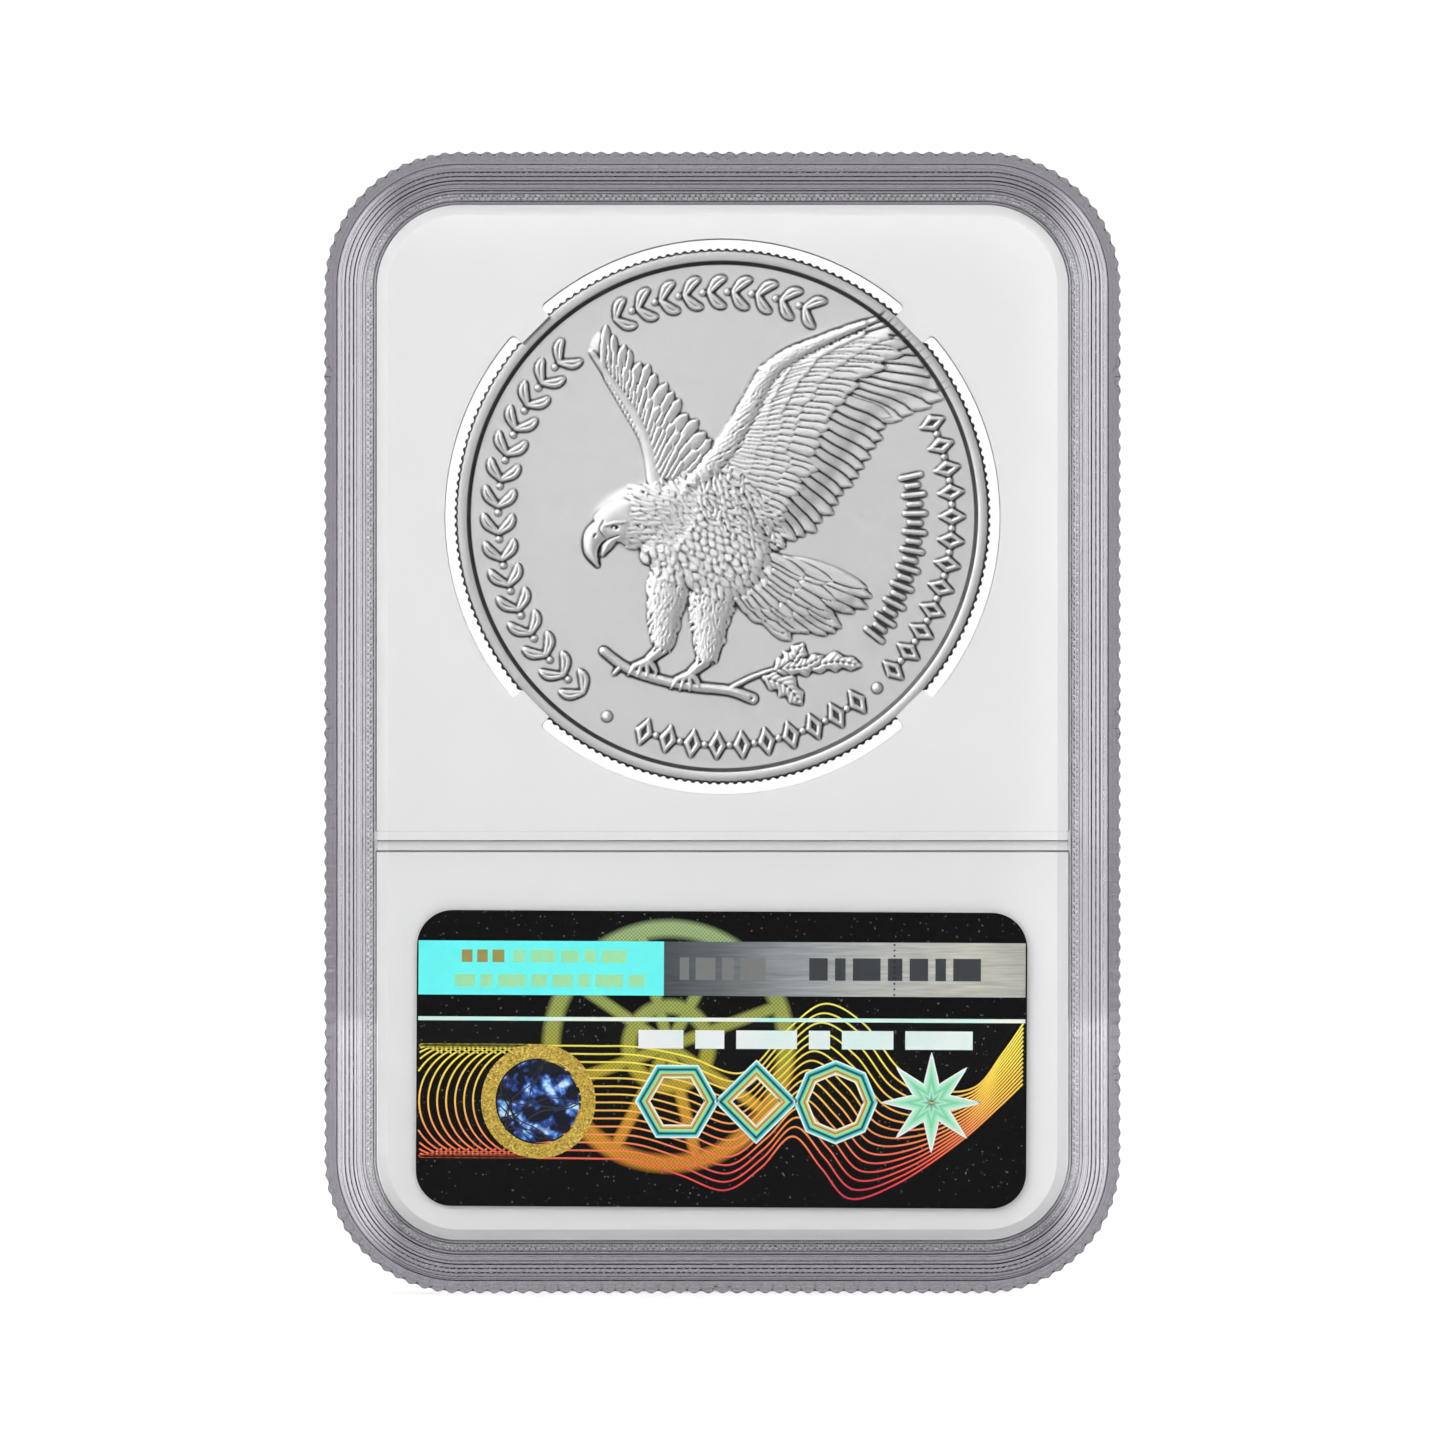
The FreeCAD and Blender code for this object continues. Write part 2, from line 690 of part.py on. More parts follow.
def foil_box(name, left, low, width, height):
    """A thin rectangle of foil on the label's face."""
    box = doc.addObject("Part::Box", name)
    box.Placement.Base = FreeCAD.Vector(left[0], 0, low[0])
    bind(box, "Length", width)
    bind(box, "Height", height)
    bind(box, "Width", combine(foil_thickness=1))
    bind(box, "Placement.Base.x", left)
    bind(box, "Placement.Base.y", combine(label_face=-1, foil_thickness=-1))
    bind(box, "Placement.Base.z", low)
    return box


def foil_disc(name, radius, centre, level):
    disc = doc.addObject("Part::Cylinder", name)
    disc.Placement.Rotation = FreeCAD.Rotation(FreeCAD.Vector(1, 0, 0), 90)
    bind(disc, "Radius", radius)
    bind(disc, "Height", combine(foil_thickness=1))
    bind(disc, "Placement.Base.x", centre)
    bind(disc, "Placement.Base.y", combine(label_face=-1))
    bind(disc, "Placement.Base.z", level)
    return disc


def foil_polygon(name, sides, radius, centre, level):
    polygon = doc.addObject("Part::RegularPolygon", name + "_polygon")
    polygon.Polygon = sides
    bind(polygon, "Circumradius", radius)
    polygon.Placement.Rotation = FreeCAD.Rotation(FreeCAD.Vector(1, 0, 0), 90)
    bind(polygon, "Placement.Base.x", centre)
    bind(polygon, "Placement.Base.y", combine(label_face=-1))
    bind(polygon, "Placement.Base.z", level)
    return extrude_foil(name, polygon)


def extrude_foil(name, outline):
    foil = doc.addObject("Part::Extrusion", name)
    foil.Base = outline
    foil.DirMode = "Custom"
    foil.Dir = FreeCAD.Vector(0, -1, 0)
    foil.Solid = True
    bind(foil, "LengthFwd", combine(foil_thickness=1))
    doc.recompute()
    return foil


def gather(name, pieces):
    """Several loose pieces of one kind as one sub-part."""
    group = doc.addObject("Part::Compound", name)
    group.Links = pieces
    doc.recompute()
    return group


def on_label(name, item, rear=False):
    """Carry one finished piece of foil to the label, through a one-piece group with its own place."""
    place_on_label(gather(name, item if isinstance(item, list) else [item]), name, rear)


def make_bands():
    half_inside = combine(label_width=0.5, band_edge_gap=-1)
    left = (-half_inside[0], f"-({half_inside[1]})")
    teal_width = combine(label_width=0.5, band_edge_gap=-1, band_split=1)
    silver_width = combine(label_width=0.5, band_edge_gap=-1, band_split=-1)
    low, tall = combine(band_bottom=1), combine(band_height=1)
    on_label("teal_foil_band", foil_box("teal_strip", left, low, teal_width, tall))
    on_label("silver_foil_band",
             foil_box("silver_strip", combine(band_split=1), low, silver_width, tall))
    line_low = combine(line_centre=1, line_height=-0.5)
    line_width = combine(label_width=1, band_edge_gap=-2)
    on_label("divider_foil_line",
             foil_box("divider_strip", left, line_low, line_width, combine(line_height=1)))


def make_bars():
    bars = []
    start = 0.0
    for number, length in enumerate(BAR_LENGTHS):
        left = combine(offset=start, bar_start=1, bar_gap=number)
        bars.append(foil_box(f"bar_{number}", left, combine(bar_bottom=1), (length, str(length)),
                             combine(bar_height=1)))
        start += length
    on_label("bar_foils", bars)


def make_motifs():
    """Three plain geometric rings: hexagon, diamond and octagon."""
    rings = []
    for number, sides in enumerate(MOTIF_SIDES):
        centre = combine(motif_start=1, motif_pitch=number)
        level = combine(motif_level=1)
        outer = foil_polygon(f"motif_{number}_outer", sides, combine(motif_radius=1), centre, level)
        hole_radius = combine(motif_radius=1, motif_wall=-1)
        hole = foil_polygon(f"motif_{number}_hole", sides, hole_radius, centre, level)
        rings.append(cut(f"motif_{number}", outer, hole))
    on_label("motif_foils", rings)


def make_star():
    points = []
    for number in range(2 * STAR_POINTS):
        radius = SIZES["star_waist"] if number % 2 else SIZES["star_radius"]
        angle = math.pi * number / STAR_POINTS
        x = SIZES["star_centre"] + radius * math.sin(angle)
        z = SIZES["motif_level"] + radius * math.cos(angle)
        points.append(FreeCAD.Vector(x, -SIZES["label_face"], z))
    outline = doc.addObject("Part::Feature", "star_outline")
    outline.Shape = Part.Face(Part.makePolygon(points + points[:1]))
    on_label("star_foil", extrude_foil("star_points", outline))


def make_seal():
    centre, level = combine(seal_centre=1), combine(seal_level=1)
    outer = foil_disc("seal_blank", combine(seal_outer=1), centre, level)
    hole = foil_disc("seal_hole", combine(seal_inner=1), centre, level)
    on_label("seal_ring", cut("seal_band", outer, hole))
    disc_radius = combine(seal_inner=1, seal_gap=-1)
    on_label("seal_disc", foil_disc("seal_centre_disc", disc_radius, centre, level))


def make_grade_print():
    width = combine(label_width=1, stripe_margin=-2)
    left = combine(label_width=-0.5, stripe_margin=1)
    low = combine(label_height=0.5, stripe_margin=-1, stripe_height=-1)
    on_label("grade_label_stripe",
             foil_box("stripe", left, low, width, combine(stripe_height=1)), rear=True)
    bars = []
    for number in range(CODE_BARS):
        bar_left = combine(code_start=1, code_pitch=number)
        wide = 1 + number % 2 * 0.5
        bars.append(foil_box(f"code_{number}", bar_left, combine(code_bottom=1),
                             combine(code_width=wide), combine(code_height=1)))
    on_label("grade_label_code", bars, rear=True)


# ---------------------------------------------------------------- build, check and write

def build():
    fill_sheet()
    make_shell("reverse_shell", "block_inset", "rim_width", half_turn=False)
    make_shell("obverse_shell", "nest_inset", "nest_width", half_turn=True)
    make_weld_seam()
    make_core_insert()
    make_coin()
    make_card("security_label", rear=False)
    make_pad("security_label_pad", rear=False)
    make_bands()
    make_bars()
    make_motifs()
    make_star()
    make_seal()
    make_card("grade_label", rear=True)
    make_pad("grade_label_pad", rear=True)
    make_grade_print()
    doc.recompute()


def check():
    for item in doc.Objects:
        if "Invalid" in item.State or "Error" in item.State:
            raise RuntimeError(f"{item.Name} is in state {item.State}")
    for item in sub_parts:
        if item.Shape.isNull() or not item.Shape.isValid() or not item.Shape.Solids:
            raise RuntimeError(f"{item.Label} has no valid solid")


def write():
    os.makedirs("parts", exist_ok=True)
    for item in sub_parts:
        item.Shape.exportStep(f"parts/{item.Label}.step")
        box = item.Shape.BoundBox
        print(f"{item.Label}: {len(item.Shape.Solids)} solid(s), {item.Shape.Volume:.2f} mm3, "
              f"x {box.XMin:.2f} to {box.XMax:.2f}, y {box.YMin:.2f} to {box.YMax:.2f}, "
              f"z {box.ZMin:.2f} to {box.ZMax:.2f}")


build()
check()
write()
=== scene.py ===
import math

import bmesh
import bpy
import numpy as np
from mathutils import Matrix, Vector


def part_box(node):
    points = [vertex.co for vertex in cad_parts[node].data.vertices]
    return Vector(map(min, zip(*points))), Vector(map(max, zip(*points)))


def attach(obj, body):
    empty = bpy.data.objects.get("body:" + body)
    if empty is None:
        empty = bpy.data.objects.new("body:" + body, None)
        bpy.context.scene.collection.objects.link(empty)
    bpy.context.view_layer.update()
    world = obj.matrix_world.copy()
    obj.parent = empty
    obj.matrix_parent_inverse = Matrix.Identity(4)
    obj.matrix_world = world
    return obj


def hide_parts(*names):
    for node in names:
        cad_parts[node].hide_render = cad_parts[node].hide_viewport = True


# A graded coin slab: sealed clear shells around a white insert, a struck silver coin and a black
# foil label. Everything is in metres, in the CAD frame. MM turns a size in millimetres into metres.
# "Inset" is a distance in from the slab's outline and "depth" a distance from the parting plane.

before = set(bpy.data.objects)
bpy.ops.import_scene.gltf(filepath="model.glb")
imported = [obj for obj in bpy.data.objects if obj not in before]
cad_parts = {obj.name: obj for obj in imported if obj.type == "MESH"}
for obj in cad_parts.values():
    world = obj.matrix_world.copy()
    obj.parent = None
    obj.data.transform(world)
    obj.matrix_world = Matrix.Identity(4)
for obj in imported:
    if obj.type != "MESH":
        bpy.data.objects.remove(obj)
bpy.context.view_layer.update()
MM = 0.001
random = np.random.default_rng(7)

shell_low, shell_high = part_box("reverse_shell")
coin_low, coin_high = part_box("coin")
GRADE_LOW, GRADE_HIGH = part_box("grade_label")

SLAB_WIDTH = shell_high.x - shell_low.x
SLAB_HEIGHT = shell_high.z
SLAB_HALF = -shell_low.y
CENTRE_Z = SLAB_HEIGHT / 2
COIN_Z = (coin_low.z + coin_high.z) / 2
COIN_RADIUS = (coin_high.x - coin_low.x) / 2
COIN_HALF = coin_high.y
CORNER_RADIUS = 10.2 * MM
SCALLOP_PITCH = 1.08 * MM
SCALLOP_DEPTH = 0.17 * MM
SAMPLES_PER_SCALLOP = 12

# ---------------------------------------------------------------- camera, floor and light

VIEW_WIDTH = 109.4 * MM
CAMERA_DISTANCE = 1.1
SENSOR_WIDTH = 36.0
FRONT_LEVEL = 0.03
KEY_POWER = 7.4
FILL_POWER = 2.5


def make_camera():
    data = bpy.data.cameras.new("camera")
    data.sensor_width = SENSOR_WIDTH
    data.lens = SENSOR_WIDTH * CAMERA_DISTANCE / VIEW_WIDTH
    data.clip_start = 0.01
    data.clip_end = 20.0
    camera = bpy.data.objects.new("camera", data)
    camera.location = (0, -CAMERA_DISTANCE - 2 * MM, CENTRE_Z)
    camera.rotation_euler = (math.radians(90), 0, 0)
    bpy.context.scene.collection.objects.link(camera)
    bpy.context.scene.camera = camera


def add_area_light(name, place, target, size, power, colour=(1, 1, 1)):
    data = bpy.data.lights.new(name, "AREA")
    data.shape = "RECTANGLE"
    data.size, data.size_y = size
    data.energy = power
    data.color = colour
    light = bpy.data.objects.new(name, data)
    light.location = place
    aim = Vector(target) - Vector(place)
    light.rotation_euler = aim.to_track_quat("-Z", "Y").to_euler()
    bpy.context.scene.collection.objects.link(light)
    light.visible_camera = False
    return light


def make_world():
    """White behind the slab and soft in front of it, darker at the sides for what glass bends
    and silver mirrors."""
    world = bpy.data.worlds.new("studio")
    bpy.context.scene.world = world
    world.use_nodes = True
    tree = world.node_tree
    tree.nodes.clear()
    output = tree.nodes.new("ShaderNodeOutputWorld")
    way = tree.nodes.new("ShaderNodeTexCoord")
    split = tree.nodes.new("ShaderNodeSeparateXYZ")
    tree.links.new(way.outputs["Generated"], split.inputs[0])
    path = tree.nodes.new("ShaderNodeLightPath")

    def fade(source, start, end, low, high):
        item = tree.nodes.new("ShaderNodeMapRange")
        item.interpolation_type = "SMOOTHSTEP"
        for socket, value in zip(("From Min", "From Max", "To Min", "To Max"),
                                 (start, end, low, high)):
            item.inputs[socket].default_value = value
        tree.links.new(source, item.inputs["Value"])
        return item.outputs[0]

    def background(strength):
        item = tree.nodes.new("ShaderNodeBackground")
        item.inputs["Color"].default_value = (1, 1, 1, 1)
        if isinstance(strength, float):
            item.inputs["Strength"].default_value = strength
        else:
            tree.links.new(strength, item.inputs["Strength"])
        return item

    def mix(factor, first, second):
        item = tree.nodes.new("ShaderNodeMixShader")
        tree.links.new(factor, item.inputs[0])
        tree.links.new(first.outputs[0], item.inputs[1])
        tree.links.new(second.outputs[0], item.inputs[2])
        return item

    def combine(operation, first, second):
        item = tree.nodes.new("ShaderNodeMath")
        item.operation = operation
        tree.links.new(first, item.inputs[0])
        if isinstance(second, float):
            item.inputs[1].default_value = second
        else:
            tree.links.new(second, item.inputs[1])
        return item.outputs[0]

    upright = combine("ABSOLUTE", split.outputs["Z"], 0.0)
    along = combine("ABSOLUTE", split.outputs["Y"], 0.0)
    seen_through = combine("MULTIPLY", fade(upright, 0.12, 0.60, 1.2, 0.10),
                           fade(along, 0.0, 0.97, 0.40, 1.0))
    lighting = fade(along, 0.35, 1.0, 0.03, FRONT_LEVEL)
    inside = mix(path.outputs["Glossy Depth"], background(seen_through), background(lighting))
    inside = mix(path.outputs["Diffuse Depth"], inside, background(0.20))
    shader = mix(path.outputs["Is Glossy Ray"], background(1.14), background(0.04))
    shader = mix(path.outputs["Is Transmission Ray"], shader, inside)
    shader = mix(path.outputs["Is Camera Ray"], shader, background(1.05))
    tree.links.new(shader.outputs[0], output.inputs["Surface"])


def make_stage():
    half = 4.0
    mesh = bpy.data.meshes.new("floor")
    corners = [(-half, -half, 0), (half, -half, 0), (half, half, 0), (-half, half, 0)]
    mesh.from_pydata(corners, [], [(0, 1, 2, 3)])
    floor = bpy.data.objects.new("floor", mesh)
    bpy.context.scene.collection.objects.link(floor)
    floor.data.materials.append(floor_material())
    floor.visible_glossy = False

    for side, word in ((-1, "front"), (1, "back")):
        key = add_area_light(word + "_key", (0.46 * side, 0.56 * side, 0.50), (0, 0, CENTRE_Z),
                             (0.26, 0.26), KEY_POWER)
        key.visible_diffuse = key.visible_transmission = False
        key.data.cycles.use_multiple_importance_sampling = False
        fill = add_area_light(word + "_fill", (0.0, 0.95 * side, 0.30), (0, 0, CENTRE_Z),
                              (1.2, 0.56), FILL_POWER)
        fill.visible_glossy = fill.visible_transmission = False
        fill.data.cycles.use_multiple_importance_sampling = False
    add_area_light("top", (0.0, 0.0, 0.85), (0, 0, 0), (0.7, 0.7), 0.9)
    for place, width, power in (((-0.55, 0.0, 0.10), 0.10, 1.2), ((0.60, 0.0, 0.10), 0.08, 1.1)):
        strip = add_area_light("strip", place, (0, 0, CENTRE_Z), (width, 0.5), power)
        strip.visible_diffuse = False
    scene = bpy.context.scene
    scene.view_settings.view_transform = "Standard"
    scene.cycles.max_bounces = 24
    scene.cycles.transmission_bounces = 20
    scene.cycles.glossy_bounces = 8
    scene.cycles.transparent_max_bounces = 16
    scene.cycles.caustics_reflective = False
    scene.cycles.sample_clamp_indirect = 4.0


# ---------------------------------------------------------------- material helpers

def new_material(name):
    material = bpy.data.materials.new(name)
    material.use_nodes = True
    tree = material.node_tree
    return material, tree, tree.nodes["Principled BSDF"]


def node(tree, kind, **settings):
    item = tree.nodes.new("ShaderNode" + kind)
    for key, value in settings.items():
        if hasattr(item, key):
            setattr(item, key, value)
        else:
            item.inputs[key.replace("_", " ")].default_value = value
    return item


def object_point(tree):
    return tree.nodes.new("ShaderNodeTexCoord").outputs["Object"]


def noise(tree, scale, detail=4.0, roughness=0.5):
    item = node(tree, "TexNoise", Scale=scale, Detail=detail, Roughness=roughness)
    tree.links.new(object_point(tree), item.inputs["Vector"])
    return item.outputs["Fac"]


def remap(tree, value, low, high, from_low=0.0, from_high=1.0):
    item = tree.nodes.new("ShaderNodeMapRange")
    item.inputs["From Min"].default_value = from_low
    item.inputs["From Max"].default_value = from_high
    item.inputs["To Min"].default_value = low
    item.inputs["To Max"].default_value = high
    tree.links.new(value, item.inputs["Value"])
    return item.outputs[0]


def blend_colour(tree, value, first, second):
    item = tree.nodes.new("ShaderNodeMix")
    item.data_type = "RGBA"
    tree.links.new(value, item.inputs[0])
    item.inputs[6].default_value = (*first, 1)
    item.inputs[7].default_value = (*second, 1)
    return item.outputs[2]


def maths(tree, operation, first, second=None, third=None):
    item = tree.nodes.new("ShaderNodeMath")
    item.operation = operation
    for socket, value in zip(item.inputs, (first, second, third)):
        if isinstance(value, (int, float)):
            socket.default_value = value
        elif value is not None:
            tree.links.new(value, socket)
    return item.outputs[0]


def blend_sockets(tree, value, first, second):
    item = tree.nodes.new("ShaderNodeMix")
    item.data_type = "RGBA"
    tree.links.new(value, item.inputs[0])
    for socket, colour in ((item.inputs[6], first), (item.inputs[7], second)):
        if isinstance(colour, tuple):
            socket.default_value = (*colour, 1)
        else:
            tree.links.new(colour, socket)
    return item.outputs[2]


def add_bump(tree, shader, height, strength, distance):
    item = tree.nodes.new("ShaderNodeBump")
    item.inputs["Strength"].default_value = strength
    item.inputs["Distance"].default_value = distance
    tree.links.new(height, item.inputs["Height"])
    tree.links.new(item.outputs[0], shader.inputs["Normal"])
    return item


def floor_material():
    """Pale to the eye. What mirrors it sees it darker, so that it leaves no haze in the windows."""
    material, tree, shader = new_material("pale_floor")
    tone = blend_colour(tree, noise(tree, 3.0), (0.93, 0.93, 0.93), (0.95, 0.95, 0.95))
    tree.links.new(tone, shader.inputs["Base Color"])
    shader.inputs["Roughness"].default_value = 0.9
    shader.inputs["Specular IOR Level"].default_value = 0.0
    dark = tree.nodes.new("ShaderNodeBsdfDiffuse")
    dark.inputs["Color"].default_value = (0.12, 0.12, 0.12, 1)
    path = tree.nodes.new("ShaderNodeLightPath")
    mix = tree.nodes.new("ShaderNodeMixShader")
    tree.links.new(path.outputs["Glossy Depth"], mix.inputs[0])
    tree.links.new(shader.outputs[0], mix.inputs[1])
    tree.links.new(dark.outputs[0], mix.inputs[2])
    tree.links.new(mix.outputs[0], tree.nodes["Material Output"].inputs["Surface"])
    return material


def border_material():
    """The clear styrene where it is thick, tinted grey with a touch of lavender as painted shade for
    the grey that bent light gives it, with fine lines that follow the edge, and painted light that
    makes it lighter along the rim's two long sides."""
    material, tree, shader = new_material("styrene_border")
    inset = node(tree, "Attribute", attribute_name="inset").outputs["Fac"]
    lines = node(tree, "TexNoise", noise_dimensions="1D", Detail=3.0)
    lines.inputs["Scale"].default_value = 9.0
    tree.links.new(inset, lines.inputs["W"])
    split = tree.nodes.new("ShaderNodeSeparateXYZ")
    tree.links.new(object_point(tree), split.inputs[0])
    # Painted light: near the two long sides the rim zone is lightened towards a pale colour, mottled by
    # noise.
    side = remap(tree, maths(tree, "ABSOLUTE", split.outputs["X"]), 0.0, 1.0, 0.0245, 0.0272)
    zone = maths(tree, "ABSOLUTE", maths(tree, "SUBTRACT", inset, 2.55))
    glow = maths(tree, "MULTIPLY", side, remap(tree, zone, 1.0, 0.0, 1.40, 1.48))
    # Painted shade: the grey tint stands in for the grey that bent light gives the thick edge.
    tone = blend_colour(tree, remap(tree, lines.outputs["Fac"], 0.0, 1.0, 0.25, 0.75),
                        (0.49, 0.472, 0.505), (0.58, 0.565, 0.592))
    light = blend_colour(tree, remap(tree, lines.outputs["Fac"], 0.0, 1.0, 0.35, 0.65),
                         (0.65, 0.64, 0.67), (0.98, 0.97, 0.99))
    painted_side_light = maths(tree, "MULTIPLY", glow, remap(tree, noise(tree, 160.0), 0.75, 1.0))
    tree.links.new(blend_sockets(tree, painted_side_light, tone, light), shader.inputs["Base Color"])
    shader.inputs["Transmission Weight"].default_value = 1.0
    shader.inputs["IOR"].default_value = 1.5
    tree.links.new(remap(tree, noise(tree, 900.0), 0.0, 0.05), shader.inputs["Roughness"])
    return material


def shade_material():
    """Styrene tinted near black: painted shade on narrow strips where a sharp inner corner bends all light
    away.
    """
    material, tree, shader = new_material("styrene_shade")
    tone = blend_colour(tree, noise(tree, 400.0), (0.006, 0.006, 0.007), (0.03, 0.029, 0.033))
    tree.links.new(tone, shader.inputs["Base Color"])
    shader.inputs["Transmission Weight"].default_value = 1.0
    shader.inputs["IOR"].default_value = 1.5
    tree.links.new(remap(tree, noise(tree, 900.0), 0.05, 0.15), shader.inputs["Roughness"])
    return material


def window_material():
    """The clear styrene over the insert: thin and optically clean."""
    material, tree, shader = new_material("styrene_window")
    tone = blend_colour(tree, noise(tree, 60.0), (0.985, 0.985, 0.99), (0.995, 0.995, 0.995))
    tree.links.new(tone, shader.inputs["Base Color"])
    shader.inputs["Transmission Weight"].default_value = 1.0
    shader.inputs["IOR"].default_value = 1.5
    shader.inputs["Roughness"].default_value = 0.0
    return material


def insert_material():
    material, tree, shader = new_material("insert_white")
    tone = blend_colour(tree, noise(tree, 220.0), (0.80, 0.80, 0.80), (0.83, 0.83, 0.83))
    tree.links.new(tone, shader.inputs["Base Color"])
    tree.links.new(remap(tree, noise(tree, 1500.0), 0.50, 0.62), shader.inputs["Roughness"])
    add_bump(tree, shader, noise(tree, 4000.0), 0.12, 0.02 * MM)
    return material


def silver_material():
    """Struck silver with a satin skin, and painted shade: near black where the relief meets its ground, on
    the rim's inner wall and on the reeded edge.
    """
    material, tree, shader = new_material("struck_silver")
    tone = blend_colour(tree, noise(tree, 1500.0), (0.80, 0.80, 0.80), (0.87, 0.87, 0.87))
    # Painted shade: a value at each point blends the silver towards near black.
    painted_shade = node(tree, "Attribute", attribute_name="painted_shade").outputs["Fac"]
    item = tree.nodes.new("ShaderNodeMix")
    item.data_type = "RGBA"
    tree.links.new(remap(tree, painted_shade, 0.0, 0.96), item.inputs[0])
    tree.links.new(tone, item.inputs[6])
    item.inputs[7].default_value = (0.03, 0.03, 0.03, 1)
    tree.links.new(item.outputs[2], shader.inputs["Base Color"])
    shader.inputs["Metallic"].default_value = 1.0
    tree.links.new(remap(tree, noise(tree, 2500.0), 0.45, 0.53), shader.inputs["Roughness"])
    add_bump(tree, shader, noise(tree, 9000.0, 2.0), 0.15, 0.01 * MM)
    return material


def flat_material(name, colour, roughness, metallic=0.0, grain=3000.0):
    material, tree, shader = new_material(name)
    dark = tuple(channel * 0.85 for channel in colour)
    tree.links.new(blend_colour(tree, noise(tree, grain), dark, colour), shader.inputs["Base Color"])
    shader.inputs["Metallic"].default_value = metallic
    tree.links.new(remap(tree, noise(tree, grain / 2), roughness - 0.1, roughness + 0.1),
                   shader.inputs["Roughness"])
    add_bump(tree, shader, noise(tree, grain * 2, 2.0), 0.15, 0.01 * MM)
    return material


# ---------------------------------------------------------------- mesh helpers

def mesh_object(name, points, faces, materials, face_materials=None, smooth_angle=30.0):
    mesh = bpy.data.meshes.new(name)
    mesh.from_pydata([tuple(point) for point in points], [], faces)
    for material in materials:
        mesh.materials.append(material)
    if face_materials is not None:
        mesh.polygons.foreach_set("material_index", np.asarray(face_materials, np.int32))
    mesh.polygons.foreach_set("use_smooth", np.ones(len(mesh.polygons), bool))
    mesh.set_sharp_from_angle(angle=math.radians(smooth_angle))
    mesh.validate()
    mesh.update()
    item = bpy.data.objects.new(name, mesh)
    bpy.context.scene.collection.objects.link(item)
    return item


def keep_values(piece, name, values):
    """Keep a number for each point, for the piece's material."""
    layer = piece.data.attributes.new(name, "FLOAT", "POINT")
    layer.data.foreach_set("value", values)


def outline_path():
    """Points of the slab's outline anticlockwise from the middle of the bottom, with the inward
    normal and the distance along the edge at each."""
    half_depth = SCALLOP_DEPTH / 2
    width, height = SLAB_WIDTH - SCALLOP_DEPTH, SLAB_HEIGHT - SCALLOP_DEPTH
    radius = CORNER_RADIUS - half_depth
    flat_x, flat_z = width / 2 - radius, height / 2 - radius
    quarter = math.pi * radius / 2
    runs = np.array([flat_x, quarter, 2 * flat_z, quarter, 2 * flat_x, quarter, 2 * flat_z,
                     quarter, flat_x])
    ends = np.cumsum(runs)
    count = round(ends[-1] / SCALLOP_PITCH)
    total = count * SAMPLES_PER_SCALLOP
    along = ends[-1] * np.arange(total) / total
    starts = ((0, -height / 2), (width / 2, -flat_z), (flat_x, height / 2), (-width / 2, flat_z),
              (-flat_x, -height / 2))
    signs = ((1, -1), (1, 1), (-1, 1), (-1, -1))
    points, normals = [], []
    for distance in along:
        run = int(np.searchsorted(ends, distance, side="right"))
        past = distance - (ends[run - 1] if run else 0.0)
        heading = math.radians(90 * (run // 2 + run % 2) - 90 - 90 * (run % 2))
        if run % 2 == 0:
            x, z = starts[run // 2]
            angle = heading
            x, z = x - math.sin(angle) * past, z + math.cos(angle) * past
        else:
            angle = heading + past / radius
            sign = signs[run // 2]
            x = sign[0] * flat_x + radius * math.cos(angle)
            z = sign[1] * flat_z + radius * math.sin(angle)
        outward = (math.cos(angle), math.sin(angle))
        points.append((x + outward[0] * half_depth, z + outward[1] * half_depth))
        normals.append((-outward[0], -outward[1]))
    phase = along / ends[-1] * count
    return np.array(points), np.array(normals), along, phase


def rounded_profile(corners):
    """A profile of (point, shaded) from corners given as (inset, depth, radius) in mm. A fourth
    item marks the stretch from there to the next corner as shaded."""
    profile = []
    for number, (inset, depth, radius, *shaded) in enumerate(corners):
        here = Vector((inset, depth))
        if not radius:
            profile.append((here, bool(shaded)))
            continue
        before = (Vector(corners[number - 1][:2]) - here).normalized()
        after = (Vector(corners[number + 1][:2]) - here).normalized()
        steps = 6
        middle = here + (before + after) * radius
        for step in range(steps + 1):
            angle = math.pi / 2 * step / steps
            profile.append((middle - after * radius * math.cos(angle)
                            - before * radius * math.sin(angle), bool(shaded)))
    return profile


make_camera()
make_world()
make_stage()

# ---------------------------------------------------------------- shells

GAP = 0.02
FACE_HALF = 3.2
CAVITY_INSET = 3.9
CAVITY_HALF = 1.8
NOTCH_HALF_LENGTH = 2.2 * MM
NOTCH_DEPTH = 0.6
NOTCH_POST_HALF = 0.18 * MM
NOTCH_SPACING = 26.4 * MM
RIB_LEVEL = 34.25 * MM
RIB_PROFILE = ((-0.86, 0.0), (-0.70, 0.40), (-0.50, 0.45), (-0.04, 0.45), (0.05, 0.33), (0.14, 0.45),
               (0.68, 0.45), (0.80, 0.0))
RIB_SHADED = (0, 3)


def notch_insets(points):
    """How deep the opening notches cut into the edge at each outline point, in mm."""
    x, z = points[:, 0], points[:, 1]
    on_side = np.abs(x) > SLAB_WIDTH / 2 - 0.3 * MM
    on_end = np.abs(z) > SLAB_HEIGHT / 2 - 0.3 * MM
    distance = np.full(len(points), 1.0)
    for level in (-NOTCH_SPACING, 0.0, NOTCH_SPACING):
        distance = np.where(on_side, np.minimum(distance, np.abs(z - level)), distance)
    distance = np.where(on_end, np.minimum(distance, np.abs(x)), distance)
    depth = NOTCH_DEPTH * np.clip(1 - distance / NOTCH_HALF_LENGTH, 0, 1)
    return np.where(distance < NOTCH_POST_HALF, 0.0, depth)


